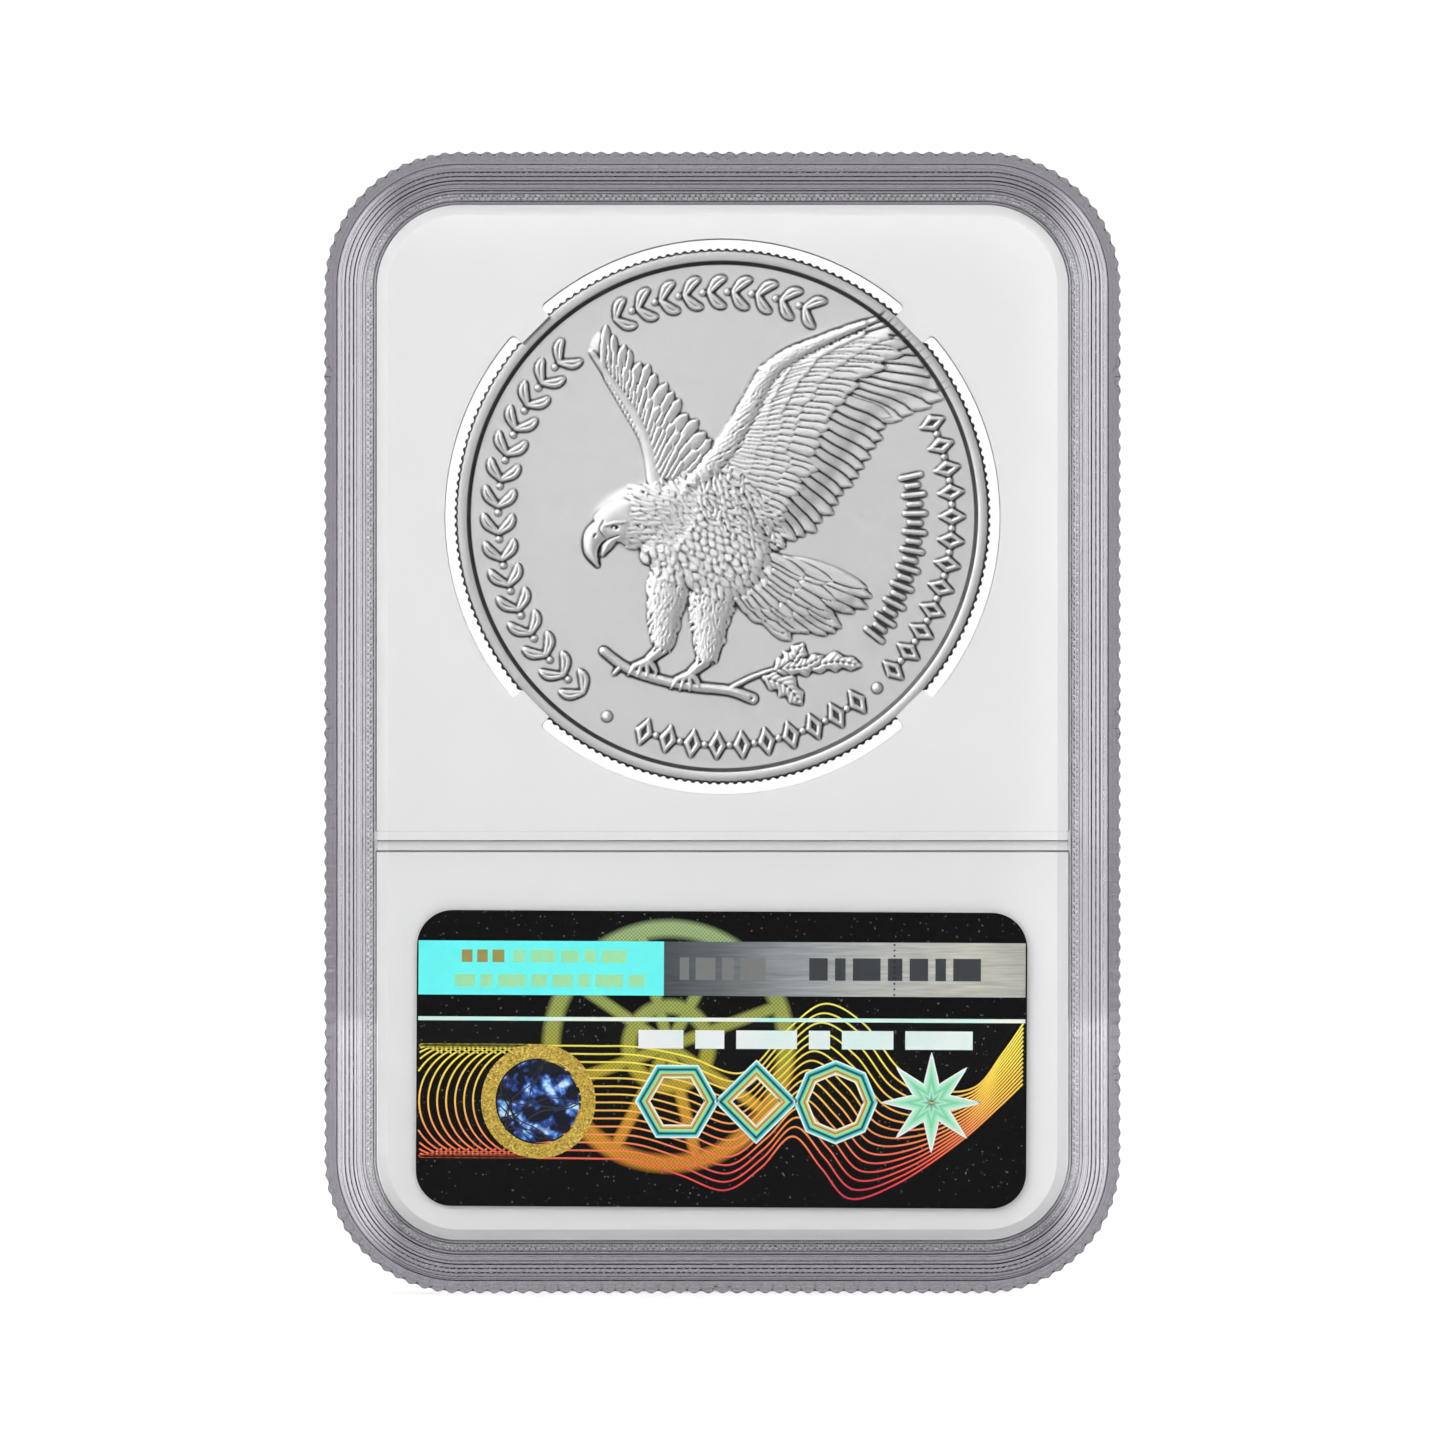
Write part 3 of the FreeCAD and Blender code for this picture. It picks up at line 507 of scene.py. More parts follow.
def make_shell(name, side, rim_out, rim_in, node_name):
    """One shell. side is -1 for the reverse shell and +1 for the obverse shell."""
    base, normals, along, phase = outline_path()
    scallop = SCALLOP_DEPTH / MM * 0.5 * (1 - np.cos(2 * np.pi * phase))
    notch = notch_insets(base)
    edge = [
        (CAVITY_INSET, CAVITY_HALF, 0), (CAVITY_INSET, GAP, 0), (3.65, GAP, 0), (3.65, 0.17, 0),
        (3.15, 0.17, 0), (3.15, GAP, 0),
    ]
    outer = [(0, 1.0, 0), (0, 2.5, 0.14), (0.93, 2.5, 0, True), (1.03, 2.5, 0.03)]
    top = SLAB_HALF / MM
    if rim_out > 1.03:
        outer += [(1.03, FACE_HALF, 0.25), (rim_out, FACE_HALF, 0.08)]
    width = rim_in - rim_out
    outer += [(rim_out, top - 0.22, 0.12), (rim_out + 0.2 * width, top - 0.22, 0.05),
              (rim_out + 0.2 * width, top, 0.10)]
    for share in (0.40, 0.62, 0.84):
        line = rim_out + share * width
        outer += [(line - 0.05, top, 0), (line, top - 0.08, 0), (line + 0.05, top, 0)]
    outer += [(rim_in, top, 0.06), (rim_in, FACE_HALF + 0.10, 0.04)]
    if rim_in < 3.0:
        outer += [(rim_in + 0.32, FACE_HALF + 0.10, 0.06), (rim_in + 0.32, FACE_HALF, 0.03)]
    else:
        outer[-1] = (rim_in, FACE_HALF, 0.03)
    outer += [(CAVITY_INSET, FACE_HALF, 0)]
    loops = [(np.full(len(base), float(corner[0])), corner[1]) for corner in edge]
    ledge = np.maximum(notch, scallop + 0.01)
    loops += [(ledge, GAP), (ledge, 1.0)]
    shaded = [False] * len(loops)
    for point, dark in rounded_profile(outer):
        loops.append((np.maximum(point.x, scallop), point.y))
        shaded.append(dark)
    count = len(base)
    points = []
    for inset, depth in loops:
        flat = base + normals * (inset * MM)[:, None]
        y = np.full(count, side * depth * MM)
        points.append(np.stack([flat[:, 0], y, flat[:, 1] + CENTRE_Z], axis=1))
    points = [tuple(point) for point in np.concatenate(points)]
    insets = np.concatenate([inset for inset, _ in loops])
    faces, kinds = [], []
    for ring in range(len(loops) - 1):
        start, after = ring * count, (ring + 1) * count
        for number in range(count):
            other = (number + 1) % count
            faces.append((start + number, start + other, after + other, after + number))
            kinds.append(2 if shaded[ring] else 0)
    faces.append(tuple(range(count - 1, -1, -1)))
    kinds.append(1)
    last = (len(loops) - 1) * count
    faces_added, cap_kinds = rib_cap(points, last, count, side)
    faces += faces_added
    kinds += cap_kinds
    if side > 0:
        faces = [face[::-1] for face in faces]
    shell = mesh_object(name, points, faces, [BORDER, WINDOW, SHADE], kinds)
    keep_values(shell, "inset", np.append(insets, np.full(len(points) - len(insets), CAVITY_INSET)))
    shell.visible_shadow = False
    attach(shell, "root")
    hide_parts(node_name)
    return shell


def rib_cap(points, last, count, side):
    """The window's outer face, with the grooved divider rib across it, and which of its faces are
    shaded. The rib's levels are outline points of the right side and mirror images on the left."""
    heights = np.array([points[last + number][2] for number in range(count // 2)])
    right = [int(np.argmin(np.abs(heights - RIB_LEVEL - offset * MM)))
             for offset, _ in RIB_PROFILE]
    faces, kinds, rows = [], [], []
    for number, (offset, rise) in zip(right, RIB_PROFILE):
        row = [last + count - number, last + number]
        if 0 < len(rows) < len(RIB_PROFILE) - 1:
            for place, corner in enumerate(row):
                x = points[corner][0] - math.copysign(0.12 * MM, points[corner][0])
                row[place] = len(points)
                points.append((x, side * (FACE_HALF + rise) * MM, RIB_LEVEL + offset * MM))
        rows.append(row)
    for (low, low_right), (high, high_right) in zip(rows[:-1], rows[1:]):
        faces.append((low, low_right, high_right, high))
    kinds = [2 if number in RIB_SHADED else 1 for number in range(len(faces))]
    lower, upper = right[0], right[-1]
    left = [last + number for number in range(count - upper, count - lower + 1)]
    faces += [tuple([last + number for number in range(count - lower, count)]
                    + [last + number for number in range(lower + 1)]),
              tuple(last + number for number in range(upper, count - upper + 1)),
              tuple([last + number for number in range(lower, upper + 1)]
                    + [row[1] for row in rows[-2:0:-1]]),
              tuple(left + [row[0] for row in rows[1:-1]])]
    return faces, kinds + [1] * 4


def make_weld_beads(material):
    """Two rows of small beads where the ultrasonic weld has melted the shells together."""
    base, normals, _, _ = outline_path()
    points, faces = [], []
    pitch = 5
    for row, (inset, half_width) in enumerate(((3.24, 0.11), (3.52, 0.12))):
        start = row * 2
        for number in range(start, len(base), pitch):
            centre = base[number] + normals[number] * inset * MM
            inward = normals[number]
            along = np.array([-inward[1], inward[0]])
            size = half_width * random.uniform(0.6, 1.15)
            length = random.uniform(0.13, 0.24)
            first = len(points)
            for step in range(6):
                angle = math.pi * step / 3
                place = (centre + inward * (size * math.cos(angle) * MM)
                         + along * (length * math.sin(angle) * MM))
                points.append((place[0], 0.0, place[1] + CENTRE_Z))
            for depth in (-0.15, 0.15):
                points.append((centre[0], depth * MM, centre[1] + CENTRE_Z))
            for step in range(6):
                other = (step + 1) % 6
                faces.append((first + step, first + other, first + 6))
                faces.append((first + other, first + step, first + 7))
    beads = mesh_object("weld_beads", points, faces, [material], smooth_angle=80.0)
    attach(beads, "root")
    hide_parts("weld_seam")


BORDER = border_material()
WINDOW = window_material()
SHADE = shade_material()
make_shell("clear_reverse_shell", -1, 1.03, 2.5, "reverse_shell")
make_shell("clear_obverse_shell", 1, 2.7, 3.8, "obverse_shell")
make_weld_beads(flat_material("weld_bead", (0.97, 0.97, 0.98), 0.3))

# ---------------------------------------------------------------- struck relief
# A relief is a height map in millimetres over the coin's field, built up by strokes: each stroke
# follows a short curve and lays a rounded or feather-shaped form over what is already there.

STEP = 0.04
MOUND_SCALE = 0.68
FEATHER_SCALE = 1.35


class Relief:
    def __init__(self, half_size):
        count = int(2 * half_size / STEP) + 1
        self.origin = -half_size
        axis = self.origin + STEP * np.arange(count)
        self.u, self.v = np.meshgrid(axis, axis)
        self.height = np.zeros_like(self.u)

    def window(self, points, margin):
        """The rows and columns of the map around some points."""
        low = np.floor((points.min(axis=0) - margin - self.origin) / STEP).astype(int)
        high = np.ceil((points.max(axis=0) + margin - self.origin) / STEP).astype(int) + 1
        size = len(self.height)
        low, high = np.clip(low, 0, size), np.clip(high, 0, size)
        return slice(low[1], high[1]), slice(low[0], high[0])

    def finish(self):
        """Round the finest steps and map painted shade where the surface lies below what is around it."""
        self.soften(1, 1)
        around = Relief(-self.origin)
        around.height = self.height.copy()
        around.soften(4)
        self.hollow_shade = np.clip((around.height - self.height - 0.008) / 0.018, 0, 1)

    # Painted shade at any points, read from the map that finish makes.
    def painted_shade(self, u, v):
        return self.sample(u, v, self.hollow_shade)

    def sample(self, u, v, values=None):
        """The height, or other values, at any points between the map's cells."""
        size = len(self.height)
        x = np.clip((u - self.origin) / STEP, 0, size - 1.001)
        y = np.clip((v - self.origin) / STEP, 0, size - 1.001)
        column, row = x.astype(int), y.astype(int)
        a, b = x - column, y - row
        h = self.height if values is None else values
        return ((h[row, column] * (1 - a) + h[row, column + 1] * a) * (1 - b)
                + (h[row + 1, column] * (1 - a) + h[row + 1, column + 1] * a) * b)

    def soften(self, cells, passes=2):
        """Blur the map with a running average, to round its steps."""
        kernel = np.ones(2 * cells + 1) / (2 * cells + 1)
        for _ in range(passes):
            for axis in (0, 1):
                self.height = np.apply_along_axis(np.convolve, axis, self.height, kernel, "same")


def trace(points, count=20):
    """A smooth curve through some points."""
    points = np.array(points, float)
    if len(points) == 2:
        share = np.linspace(0, 1, count)[:, None]
        return points[0] * (1 - share) + points[1] * share
    padded = np.vstack([2 * points[0] - points[1], points, 2 * points[-1] - points[-2]])
    result = []
    spans = len(points) - 1
    for number in range(spans):
        p0, p1, p2, p3 = padded[number:number + 4]
        steps = max(2, count // spans)
        t = np.linspace(0, 1, steps, endpoint=number == spans - 1)[:, None]
        result.append(0.5 * (2 * p1 + (p2 - p0) * t + (2 * p0 - 5 * p1 + 4 * p2 - p3) * t ** 2
                             + (3 * p1 - p0 - 3 * p2 + p3) * t ** 3))
    return np.vstack(result)


def along_line(u, v, line):
    """For each place: the share of the way along a line of its nearest point, and the signed
    distance to it, positive to the left."""
    starts, steps = line[:-1], np.diff(line, axis=0)
    lengths = np.hypot(steps[:, 0], steps[:, 1])
    before = np.concatenate([[0], np.cumsum(lengths)])
    best = np.full(u.shape, np.inf)
    share, side = np.zeros(u.shape), np.zeros(u.shape)
    for start, step, length, done in zip(starts, steps, lengths, before):
        x, y = u - start[0], v - start[1]
        t = np.clip((x * step[0] + y * step[1]) / length ** 2, 0, 1)
        dx, dy = x - t * step[0], y - t * step[1]
        distance = dx * dx + dy * dy
        closer = distance < best
        best = np.where(closer, distance, best)
        share = np.where(closer, (done + t * length) / before[-1], share)
        side = np.where(closer, np.sign(step[0] * y - step[1] * x), side)
    return share, side * np.sqrt(best), before[-1]


def stroke(relief, points, widths, form, ground=None, blend="over", count=20):
    """Lay a form along a curve. widths are half-widths at even steps along it, and form gives the
    height from the share along, the share across and the distance across."""
    line = trace(points, count)
    rows, columns = relief.window(line, max(widths))
    u, v = relief.u[rows, columns], relief.v[rows, columns]
    if not u.size:
        return
    share, across, length = along_line(u, v, line)
    half = np.interp(share, np.linspace(0, 1, len(widths)), widths)
    t = across / np.maximum(half, 1e-6)
    inside = np.abs(t) < 1
    lift = form(share, np.clip(t, -1, 1), across, length)
    here = relief.height[rows, columns]
    base = 0.0 if ground is None else ground[rows, columns]
    if blend == "max":
        relief.height[rows, columns] = np.where(inside, np.maximum(here, base + lift), here)
    elif blend == "add":
        relief.height[rows, columns] = np.where(inside, here + lift, here)
    else:
        relief.height[rows, columns] = np.where(inside, base + lift, here)


def dome(height, power=0.5, floor=0.0):
    return lambda s, t, d, length: floor + height * (1 - t * t) ** power


def ridge(height):
    return lambda s, t, d, length: height * (1 - np.abs(t)) ** 0.8


def feather(lift, tilt=0.0, rise=0.0, shaft=0.03, barbs=0.012, barb_step=0.16):
    """A feather's pillow shape, with a raised shaft and slanting barbs. tilt raises one edge and
    rise its tip."""
    def form(s, t, d, length):
        body = FEATHER_SCALE * (lift * (1 - np.abs(t) ** 5) + tilt * t + rise * s)
        quill = shaft * np.exp(-(d / 0.05) ** 2) * (1 - 0.6 * s)
        wave = np.sin(2 * np.pi * (s * length - 1.1 * np.abs(d)) / barb_step)
        return body + quill + barbs * wave * (np.abs(t) > 0.12)
    return form


def blade_widths(half, start=0.55, full=0.45, tip=0.12, count=14):
    """Half-widths of a feather or leaf: narrow at its root, full past the middle, round at its tip."""
    s = np.linspace(0, 1, count)
    root = start + (1 - start) * np.clip(s / full, 0, 1) ** 0.8
    end = np.sqrt(np.clip(1 - np.clip((s - (1 - tip * 2.5)) / (tip * 2.5), 0, 1) ** 2, 0.02, 1))
    return list(half * root * end)


def between(first, second, share):
    return (1 - share) * np.asarray(first) + share * np.asarray(second)


def point_on(curve, share):
    """The point at a share of the way along a traced curve."""
    lengths = np.concatenate([[0], np.cumsum(np.hypot(*np.diff(curve, axis=0).T))])
    target = share * lengths[-1]
    return np.array([np.interp(target, lengths, curve[:, 0]), np.interp(target, lengths, curve[:, 1])])


def fill(relief, corners, height, edge, ground=None):
    """Raise the inside of an outline, rounding down to its edge."""
    outline = np.vstack([trace(corners, 60), np.array(corners[:1], float)])
    rows, columns = relief.window(outline, 0.1)
    u, v = relief.u[rows, columns], relief.v[rows, columns]
    inside = np.zeros(u.shape, bool)
    for (x0, y0), (x1, y1) in zip(outline[:-1], outline[1:]):
        if y0 == y1:
            continue
        crosses = (y0 > v) != (y1 > v)
        inside ^= crosses & (u < (x1 - x0) * (v - y0) / (y1 - y0) + x0)
    _, distance, _ = along_line(u, v, outline)
    shape = height * np.sqrt(np.clip(1 - (1 - np.clip(np.abs(distance) / edge, 0, 1)) ** 2, 0, 1))
    here = relief.height[rows, columns]
    relief.height[rows, columns] = np.where(inside, np.maximum(here, shape), here)


# ---------------------------------------------------------------- feathers

def shaped_widths(half, start=0.55, full=0.45, tip=0.12, count=14):
    return blade_widths(half, start, full, tip, count)


def fan(relief, roots, tips, count, half, form, ground, random, bend=0.0, spread=0.02, back=False):
    """Feathers from one curve to another, each lying over the one before it."""
    root_line, tip_line = trace(roots, 60), trace(tips, 60)
    order = range(count - 1, -1, -1) if back else range(count)
    for number in order:
        share = number / (count - 1)
        root = point_on(root_line, share)
        tip = point_on(tip_line, np.clip(share + spread * random.standard_normal() / count * 4, 0, 1))
        tip = root + (tip - root) * (1 + spread * random.standard_normal())
        side = np.array([-(tip - root)[1], (tip - root)[0]])
        middle = between(root, tip, 0.5) + side * bend
        width = np.interp(share, np.linspace(0, 1, len(half)), half)
        stroke(relief, (root, middle, tip), blade_widths(width), form, ground)


def scatter(relief, spots, heading, length, half, form, random, ground, wander=0.25):
    """Short feathers at some spots, in the order given."""
    for spot in spots:
        angle = heading(spot) + wander * random.standard_normal()
        size = length * (1 + 0.2 * random.standard_normal())
        step = np.array([math.cos(angle), math.sin(angle)]) * size
        bend = np.array([-step[1], step[0]]) * 0.08 * random.standard_normal()
        stroke(relief, (spot - step * 0.5, spot + bend, spot + step * 0.5),
               blade_widths(half, 0.7, 0.5, 0.2, 8), form, ground, count=6)


def inside_outline(points, corners):
    outline = np.vstack([trace(corners, 60), np.array(corners[:1], float)])
    inside = np.zeros(len(points), bool)
    for (x0, y0), (x1, y1) in zip(outline[:-1], outline[1:]):
        if y0 != y1:
            crosses = (y0 > points[:, 1]) != (y1 > points[:, 1])
            inside ^= crosses & (points[:, 0] < (x1 - x0) * (points[:, 1] - y0) / (y1 - y0) + x0)
    return inside


def spots_in(corners, spacing, heading, random):
    """Staggered spots inside an outline, ordered so that the ones further along a heading come
    first."""
    corners_array = np.array(corners, float)
    centre = corners_array.mean(axis=0)
    reach = np.abs(corners_array - centre).max() + 1
    forward = np.array([math.cos(heading), math.sin(heading)])
    across = np.array([-forward[1], forward[0]])
    spots = []
    rows = int(2 * reach / spacing) + 1
    for row in range(rows, -1, -1):
        for column in range(rows + 1):
            a = -reach + row * spacing
            b = -reach * 1.1 + (column + 0.5 * (row % 2)) * spacing * 1.15
            spots.append(centre + forward * a + across * b + 0.10 * spacing * random.standard_normal(2))
    spots = np.array(spots)
    return spots[inside_outline(spots, corners)]


def mound(relief, corners, height, edge, blur=3):
    """A softly rounded form for feathers to lie on."""
    form = Relief(-relief.origin)
    fill(form, corners, height * MOUND_SCALE, edge)
    form.soften(blur)
    relief.base = np.maximum(relief.base, form.height)
    relief.height = np.maximum(relief.height, form.height)


def limb(relief, points, widths, height, power=0.55, blur=2, count=40):
    """A rounded form along a curve for feathers to lie on."""
    form = Relief(-relief.origin)
    stroke(form, points, widths, dome(height * MOUND_SCALE, power), None, "max", count)
    form.soften(blur)
    relief.base = np.maximum(relief.base, form.height)
    relief.height = np.maximum(relief.height, form.height)


# ---------------------------------------------------------------- the bird

FAR_WING = ((-5.3, 2.6), (-5.4, 5.2), (-6.3, 7.6), (-8.0, 10.2), (-9.9, 12.5), (-9.3, 13.9),
            (-8.4, 13.3), (-6.6, 11.0), (-4.2, 8.5), (-2.2, 6.4), (-0.6, 5.0), (-1.8, 2.6))
BODY = ((-6.0, 2.0), (-3.6, 2.9), (-0.8, 3.4), (1.8, 2.0), (3.2, -1.0), (3.6, -3.4), (2.0, -5.9),
        (-0.6, -6.1), (-2.8, -5.4), (-5.0, -4.0), (-6.2, -2.4), (-6.6, -0.6))
NEAR_WING = ((-1.6, 2.6), (0.6, 6.0), (2.2, 8.9), (3.4, 11.4), (5.9, 13.0), (9.0, 14.2),
             (12.2, 14.6), (14.0, 12.6), (15.6, 9.8), (12.2, 8.4), (9.4, 5.2), (7.6, 2.0),
             (5.2, -0.4), (2.4, -1.2))
TAIL = ((1.4, -2.2), (5.2, -4.1), (9.4, -5.3), (9.8, -6.4), (7.8, -7.7), (4.8, -8.0), (0.6, -6.6))
DOWN_BACK = math.radians(-52)


def strike_bird(relief, random):
    relief.base = np.zeros_like(relief.height)
    far_wing(relief, random)
    tail(relief, random)
    branch_and_leaves(relief)
    for foot, lean in (((-5.6, -10.9), -0.6), ((-2.4, -11.9), -0.5)):
        talons(relief, np.array(foot), lean)
    legs(relief, random)
    body(relief, random)
    near_wing(relief, random)
    head(relief, random)


def far_wing(relief, random):
    mound(relief, FAR_WING, 0.12, 0.9)
    vane = feather(0.05, tilt=0.02, rise=0.04, shaft=0.018)
    for roots, tips, count, half in (
            (((-2.4, 2.8), (-4.4, 4.4), (-6.3, 7.2), (-8.4, 10.8)),
             ((-0.2, 4.9), (-2.4, 7.9), (-5.4, 11.1), (-9.0, 14.6)), 15, (0.56, 0.50, 0.44, 0.36)),
            (((-3.2, 2.6), (-5.0, 4.4), (-6.6, 7.0), (-8.6, 10.4)),
             ((-1.5, 4.5), (-3.9, 7.3), (-6.4, 10.3), (-9.0, 13.5)), 19, (0.42, 0.38, 0.34, 0.28)),
            (((-4.0, 2.4), (-5.3, 4.4), (-6.8, 7.0), (-8.7, 10.2)),
             ((-2.9, 4.2), (-4.8, 6.9), (-6.9, 9.8), (-9.1, 12.8)), 24, (0.34, 0.30, 0.26, 0.22))):
        fan(relief, roots, tips, count, half, vane, relief.base, random, bend=0.05, spread=0.05)
    limb(relief, ((-4.9, 2.0), (-5.5, 5.0), (-6.6, 7.7), (-8.3, 10.2), (-9.9, 12.5)),
         [0.70, 0.52, 0.42, 0.34, 0.22], 0.20, 0.5, 1, 60)


def tail(relief, random):
    mound(relief, TAIL, 0.13, 1.2)
    vane = feather(0.09, tilt=-0.03, rise=-0.01, shaft=0.03)
    fan(relief, ((1.4, -6.2), (1.9, -4.8), (2.2, -3.2)),
        ((4.4, -8.9), (6.8, -8.8), (9.0, -8.2), (10.5, -7.0), (10.9, -5.4)), 12,
        (0.72, 0.68, 0.60), vane, relief.base, random, bend=0.06, spread=0.06)
    cover = feather(0.09, rise=0.015, shaft=0.025)
    fan(relief, ((1.0, -5.8), (1.6, -4.4), (2.0, -2.8)),
        ((3.0, -8.1), (5.8, -7.6), (7.7, -6.4), (8.2, -4.9)), 11, (0.56, 0.52, 0.46), cover,
        relief.base, random, bend=0.05, spread=0.06)
    fan(relief, ((0.6, -5.4), (1.4, -4.0), (1.9, -2.4)),
        ((2.0, -7.3), (4.4, -6.8), (5.8, -5.5), (6.1, -4.2)), 11, (0.48, 0.44, 0.40), cover,
        relief.base, random, bend=0.05, spread=0.08)


LEGS = ((((-3.4, -3.2), (-4.2, -6.2), (-4.5, -9.6)), (1.6, 1.45, 1.05, 0.62)),
        (((-0.5, -4.2), (-0.9, -7.4), (-1.1, -10.6)), (1.7, 1.55, 1.15, 0.68)))


def legs(relief, random):
    tuft = feather(0.045, rise=0.035, shaft=0.0, barbs=0.012, barb_step=0.11)
    for points, widths in LEGS:
        limb(relief, points, widths, 0.24)
        line, spots = trace(points, 60), []
        for row in range(28, -1, -1):
            share = row / 28
            here, half = point_on(line, share), np.interp(share, np.linspace(0, 1, 4), widths)
            for column in range(9):
                across = half * (-1.04 + 2.08 * (column + 0.5 * (row % 2)) / 8.5)
                spots.append(here + np.array([across, 0.10 * random.standard_normal()]))
        scatter(relief, spots, lambda spot: math.radians(-92), 0.95, 0.14, tuft, random,
                relief.base, 0.26)


def body(relief, random):
    mound(relief, BODY, 0.31, 2.2)
    scale = feather(0.045, rise=0.065, shaft=0.014, barbs=0.010, barb_step=0.13)
    spots = spots_in(BODY, 0.56, DOWN_BACK, random)
    for spot in spots:
        down = np.clip((2.5 - spot[1]) / 8, 0, 1)
        scatter(relief, [spot], lambda place: DOWN_BACK - 0.25 * (place[0] < -3), 0.95 + 0.4 * down,
                0.29 + 0.07 * down, scale, random, relief.base, 0.16)


def near_wing(relief, random):
    mound(relief, NEAR_WING, 0.17, 1.5, 8)
    fan(relief, ((9.4, 13.5), (7.6, 12.0), (6.2, 10.4)),
        ((12.6, 15.2), (14.8, 12.9), (16.4, 10.6), (17.1, 9.2), (13.6, 7.4)), 11,
        (0.50, 0.66, 0.76), feather(0.06, tilt=-0.045, rise=-0.02, shaft=0.022), relief.base,
        random, bend=-0.04)
    fan(relief, ((6.6, 10.4), (5.0, 7.0), (3.6, 3.4), (2.0, 0.2)),
        ((12.9, 7.5), (11.2, 4.6), (9.4, 2.0), (7.4, -0.6), (5.0, -2.2), (3.0, -2.5)), 18,
        (0.70, 0.68, 0.62, 0.50), feather(0.08, tilt=-0.04, rise=-0.01, shaft=0.022), relief.base,
        random, bend=-0.07)
    rows = (
        (((9.2, 13.6), (6.4, 10.9), (4.6, 7.4), (3.0, 3.4), (1.6, 1.0)),
         ((14.2, 13.0), (10.6, 10.3), (7.9, 7.0), (6.4, 3.0), (4.4, -0.6)), 29, (0.42, 0.48, 0.42),
         0.075),
        (((8.8, 13.7), (5.8, 11.4), (4.0, 7.8), (2.4, 3.8), (1.0, 1.8)),
         ((12.4, 13.6), (8.6, 11.2), (6.0, 7.8), (4.9, 3.6), (3.4, 0.6)), 33, (0.34, 0.38, 0.34),
         0.065),
        (((8.0, 13.5), (5.2, 11.6), (3.4, 8.2), (1.8, 4.4), (0.4, 2.6)),
         ((10.9, 13.9), (7.2, 11.9), (4.9, 8.4), (3.8, 4.4), (2.5, 1.6)), 38, (0.26, 0.31, 0.28),
         0.06),
        (((7.0, 13.2), (4.6, 11.8), (2.8, 8.6), (1.2, 5.2), (-0.2, 3.2)),
         ((9.2, 13.9), (6.0, 12.2), (4.0, 9.0), (2.8, 5.0), (1.6, 2.4)), 44, (0.20, 0.25, 0.22),
         0.05),
    )
    for roots, tips, count, half, lift in rows:
        fan(relief, roots, tips, count, half, feather(lift, rise=0.035, shaft=0.018), relief.base,
            random, bend=-0.05, spread=0.06)
    edge = ((-3.4, 1.2), (-1.8, 2.9), (0.0, 4.9), (1.8, 7.8), (3.3, 10.6), (4.9, 12.0),
            (7.6, 13.3), (10.6, 14.5), (12.6, 15.2))
    widths = [0.6, 0.90, 0.92, 0.84, 0.76, 0.66, 0.46, 0.32, 0.12]
    limb(relief, edge, widths, 0.31, 0.5, 2, 90)
    line, down = trace(edge, 90), feather(0.035, rise=0.035, shaft=0.0, barbs=0.008)
    for row in range(58, 2, -1):
        share = row / 64
        here, ahead = point_on(line, share), point_on(line, share + 0.02) - point_on(line, share)
        ahead = ahead / np.hypot(*ahead)
        half = np.interp(share, np.linspace(0, 1, len(widths)), widths)
        for column in range(5):
            across = half * (0.95 - 0.36 * (column + 0.5 * (row % 2)))
            spot = here + across * np.array([ahead[1], -ahead[0]])
            turn = math.atan2(ahead[1], ahead[0]) - 0.30
            scatter(relief, [spot], lambda place: turn, 0.62, 0.17, down, random, relief.base, 0.15)
    tufts = ((-3.6, 2.3), (-2.0, 3.3), (-0.4, 3.7), (1.2, 3.0), (3.0, 1.4), (4.8, -0.6),
             (3.6, -2.5), (1.2, -1.8), (-1.2, 0.0), (-3.0, 0.8))
    spots = spots_in(tufts, 0.42, DOWN_BACK, random)
    scatter(relief, spots, lambda spot: DOWN_BACK + 0.05 * spot[0], 1.15, 0.21,
            feather(0.05, rise=0.05, shaft=0.012, barbs=0.014, barb_step=0.12), random,
            relief.base, 0.38)


def talons(relief, foot, lean):
    stroke(relief, (foot + (1.0, 0.9), foot + (0.35, 0.35), foot), [0.5, 0.42, 0.36],
           dome(0.26, 0.6), None, "max")
    for spread, reach in ((-1.2, 0.9), (-0.55, 1.15), (0.15, 1.25), (0.8, 1.0)):
        knuckle = foot + np.array([spread * 0.7 + lean * 0.4, -0.45])
        claw = foot + np.array([spread * 1.05 + lean * 0.5, -0.65 - 0.5 * reach])
        stroke(relief, (foot, knuckle), [0.28, 0.25], dome(0.25, 0.6, 0.05), None, "max")
        stroke(relief, (knuckle, between(knuckle, claw, 0.6) + (0.08, 0.05), claw),
               [0.25, 0.18, 0.05], dome(0.24, 0.6, 0.05), None, "max")


def leaf(relief, root, tip, half, bend=0.12):
    root, tip = np.array(root), np.array(tip)
    side = np.array([-(tip - root)[1], (tip - root)[0]])
    middle = between(root, tip, 0.5) + side * bend
    s = np.linspace(0, 1, 33)
    lobes = 1 + 0.26 * np.cos(2 * np.pi * 3.0 * s + math.pi)
    widths = half * np.sin(np.pi * np.clip(s * 0.90 + 0.08, 0, 1)) ** 0.7 * lobes

    def form(s, t, d, length):
        veins = 0.020 * np.sin(2 * np.pi * (s * length - 0.9 * np.abs(d)) / 0.46)
        return 0.13 * (1 - np.abs(t) ** 4) + 0.04 + veins - 0.06 * np.exp(-(d / 0.06) ** 2)
    stroke(relief, (root, middle, tip), list(widths), form, None)


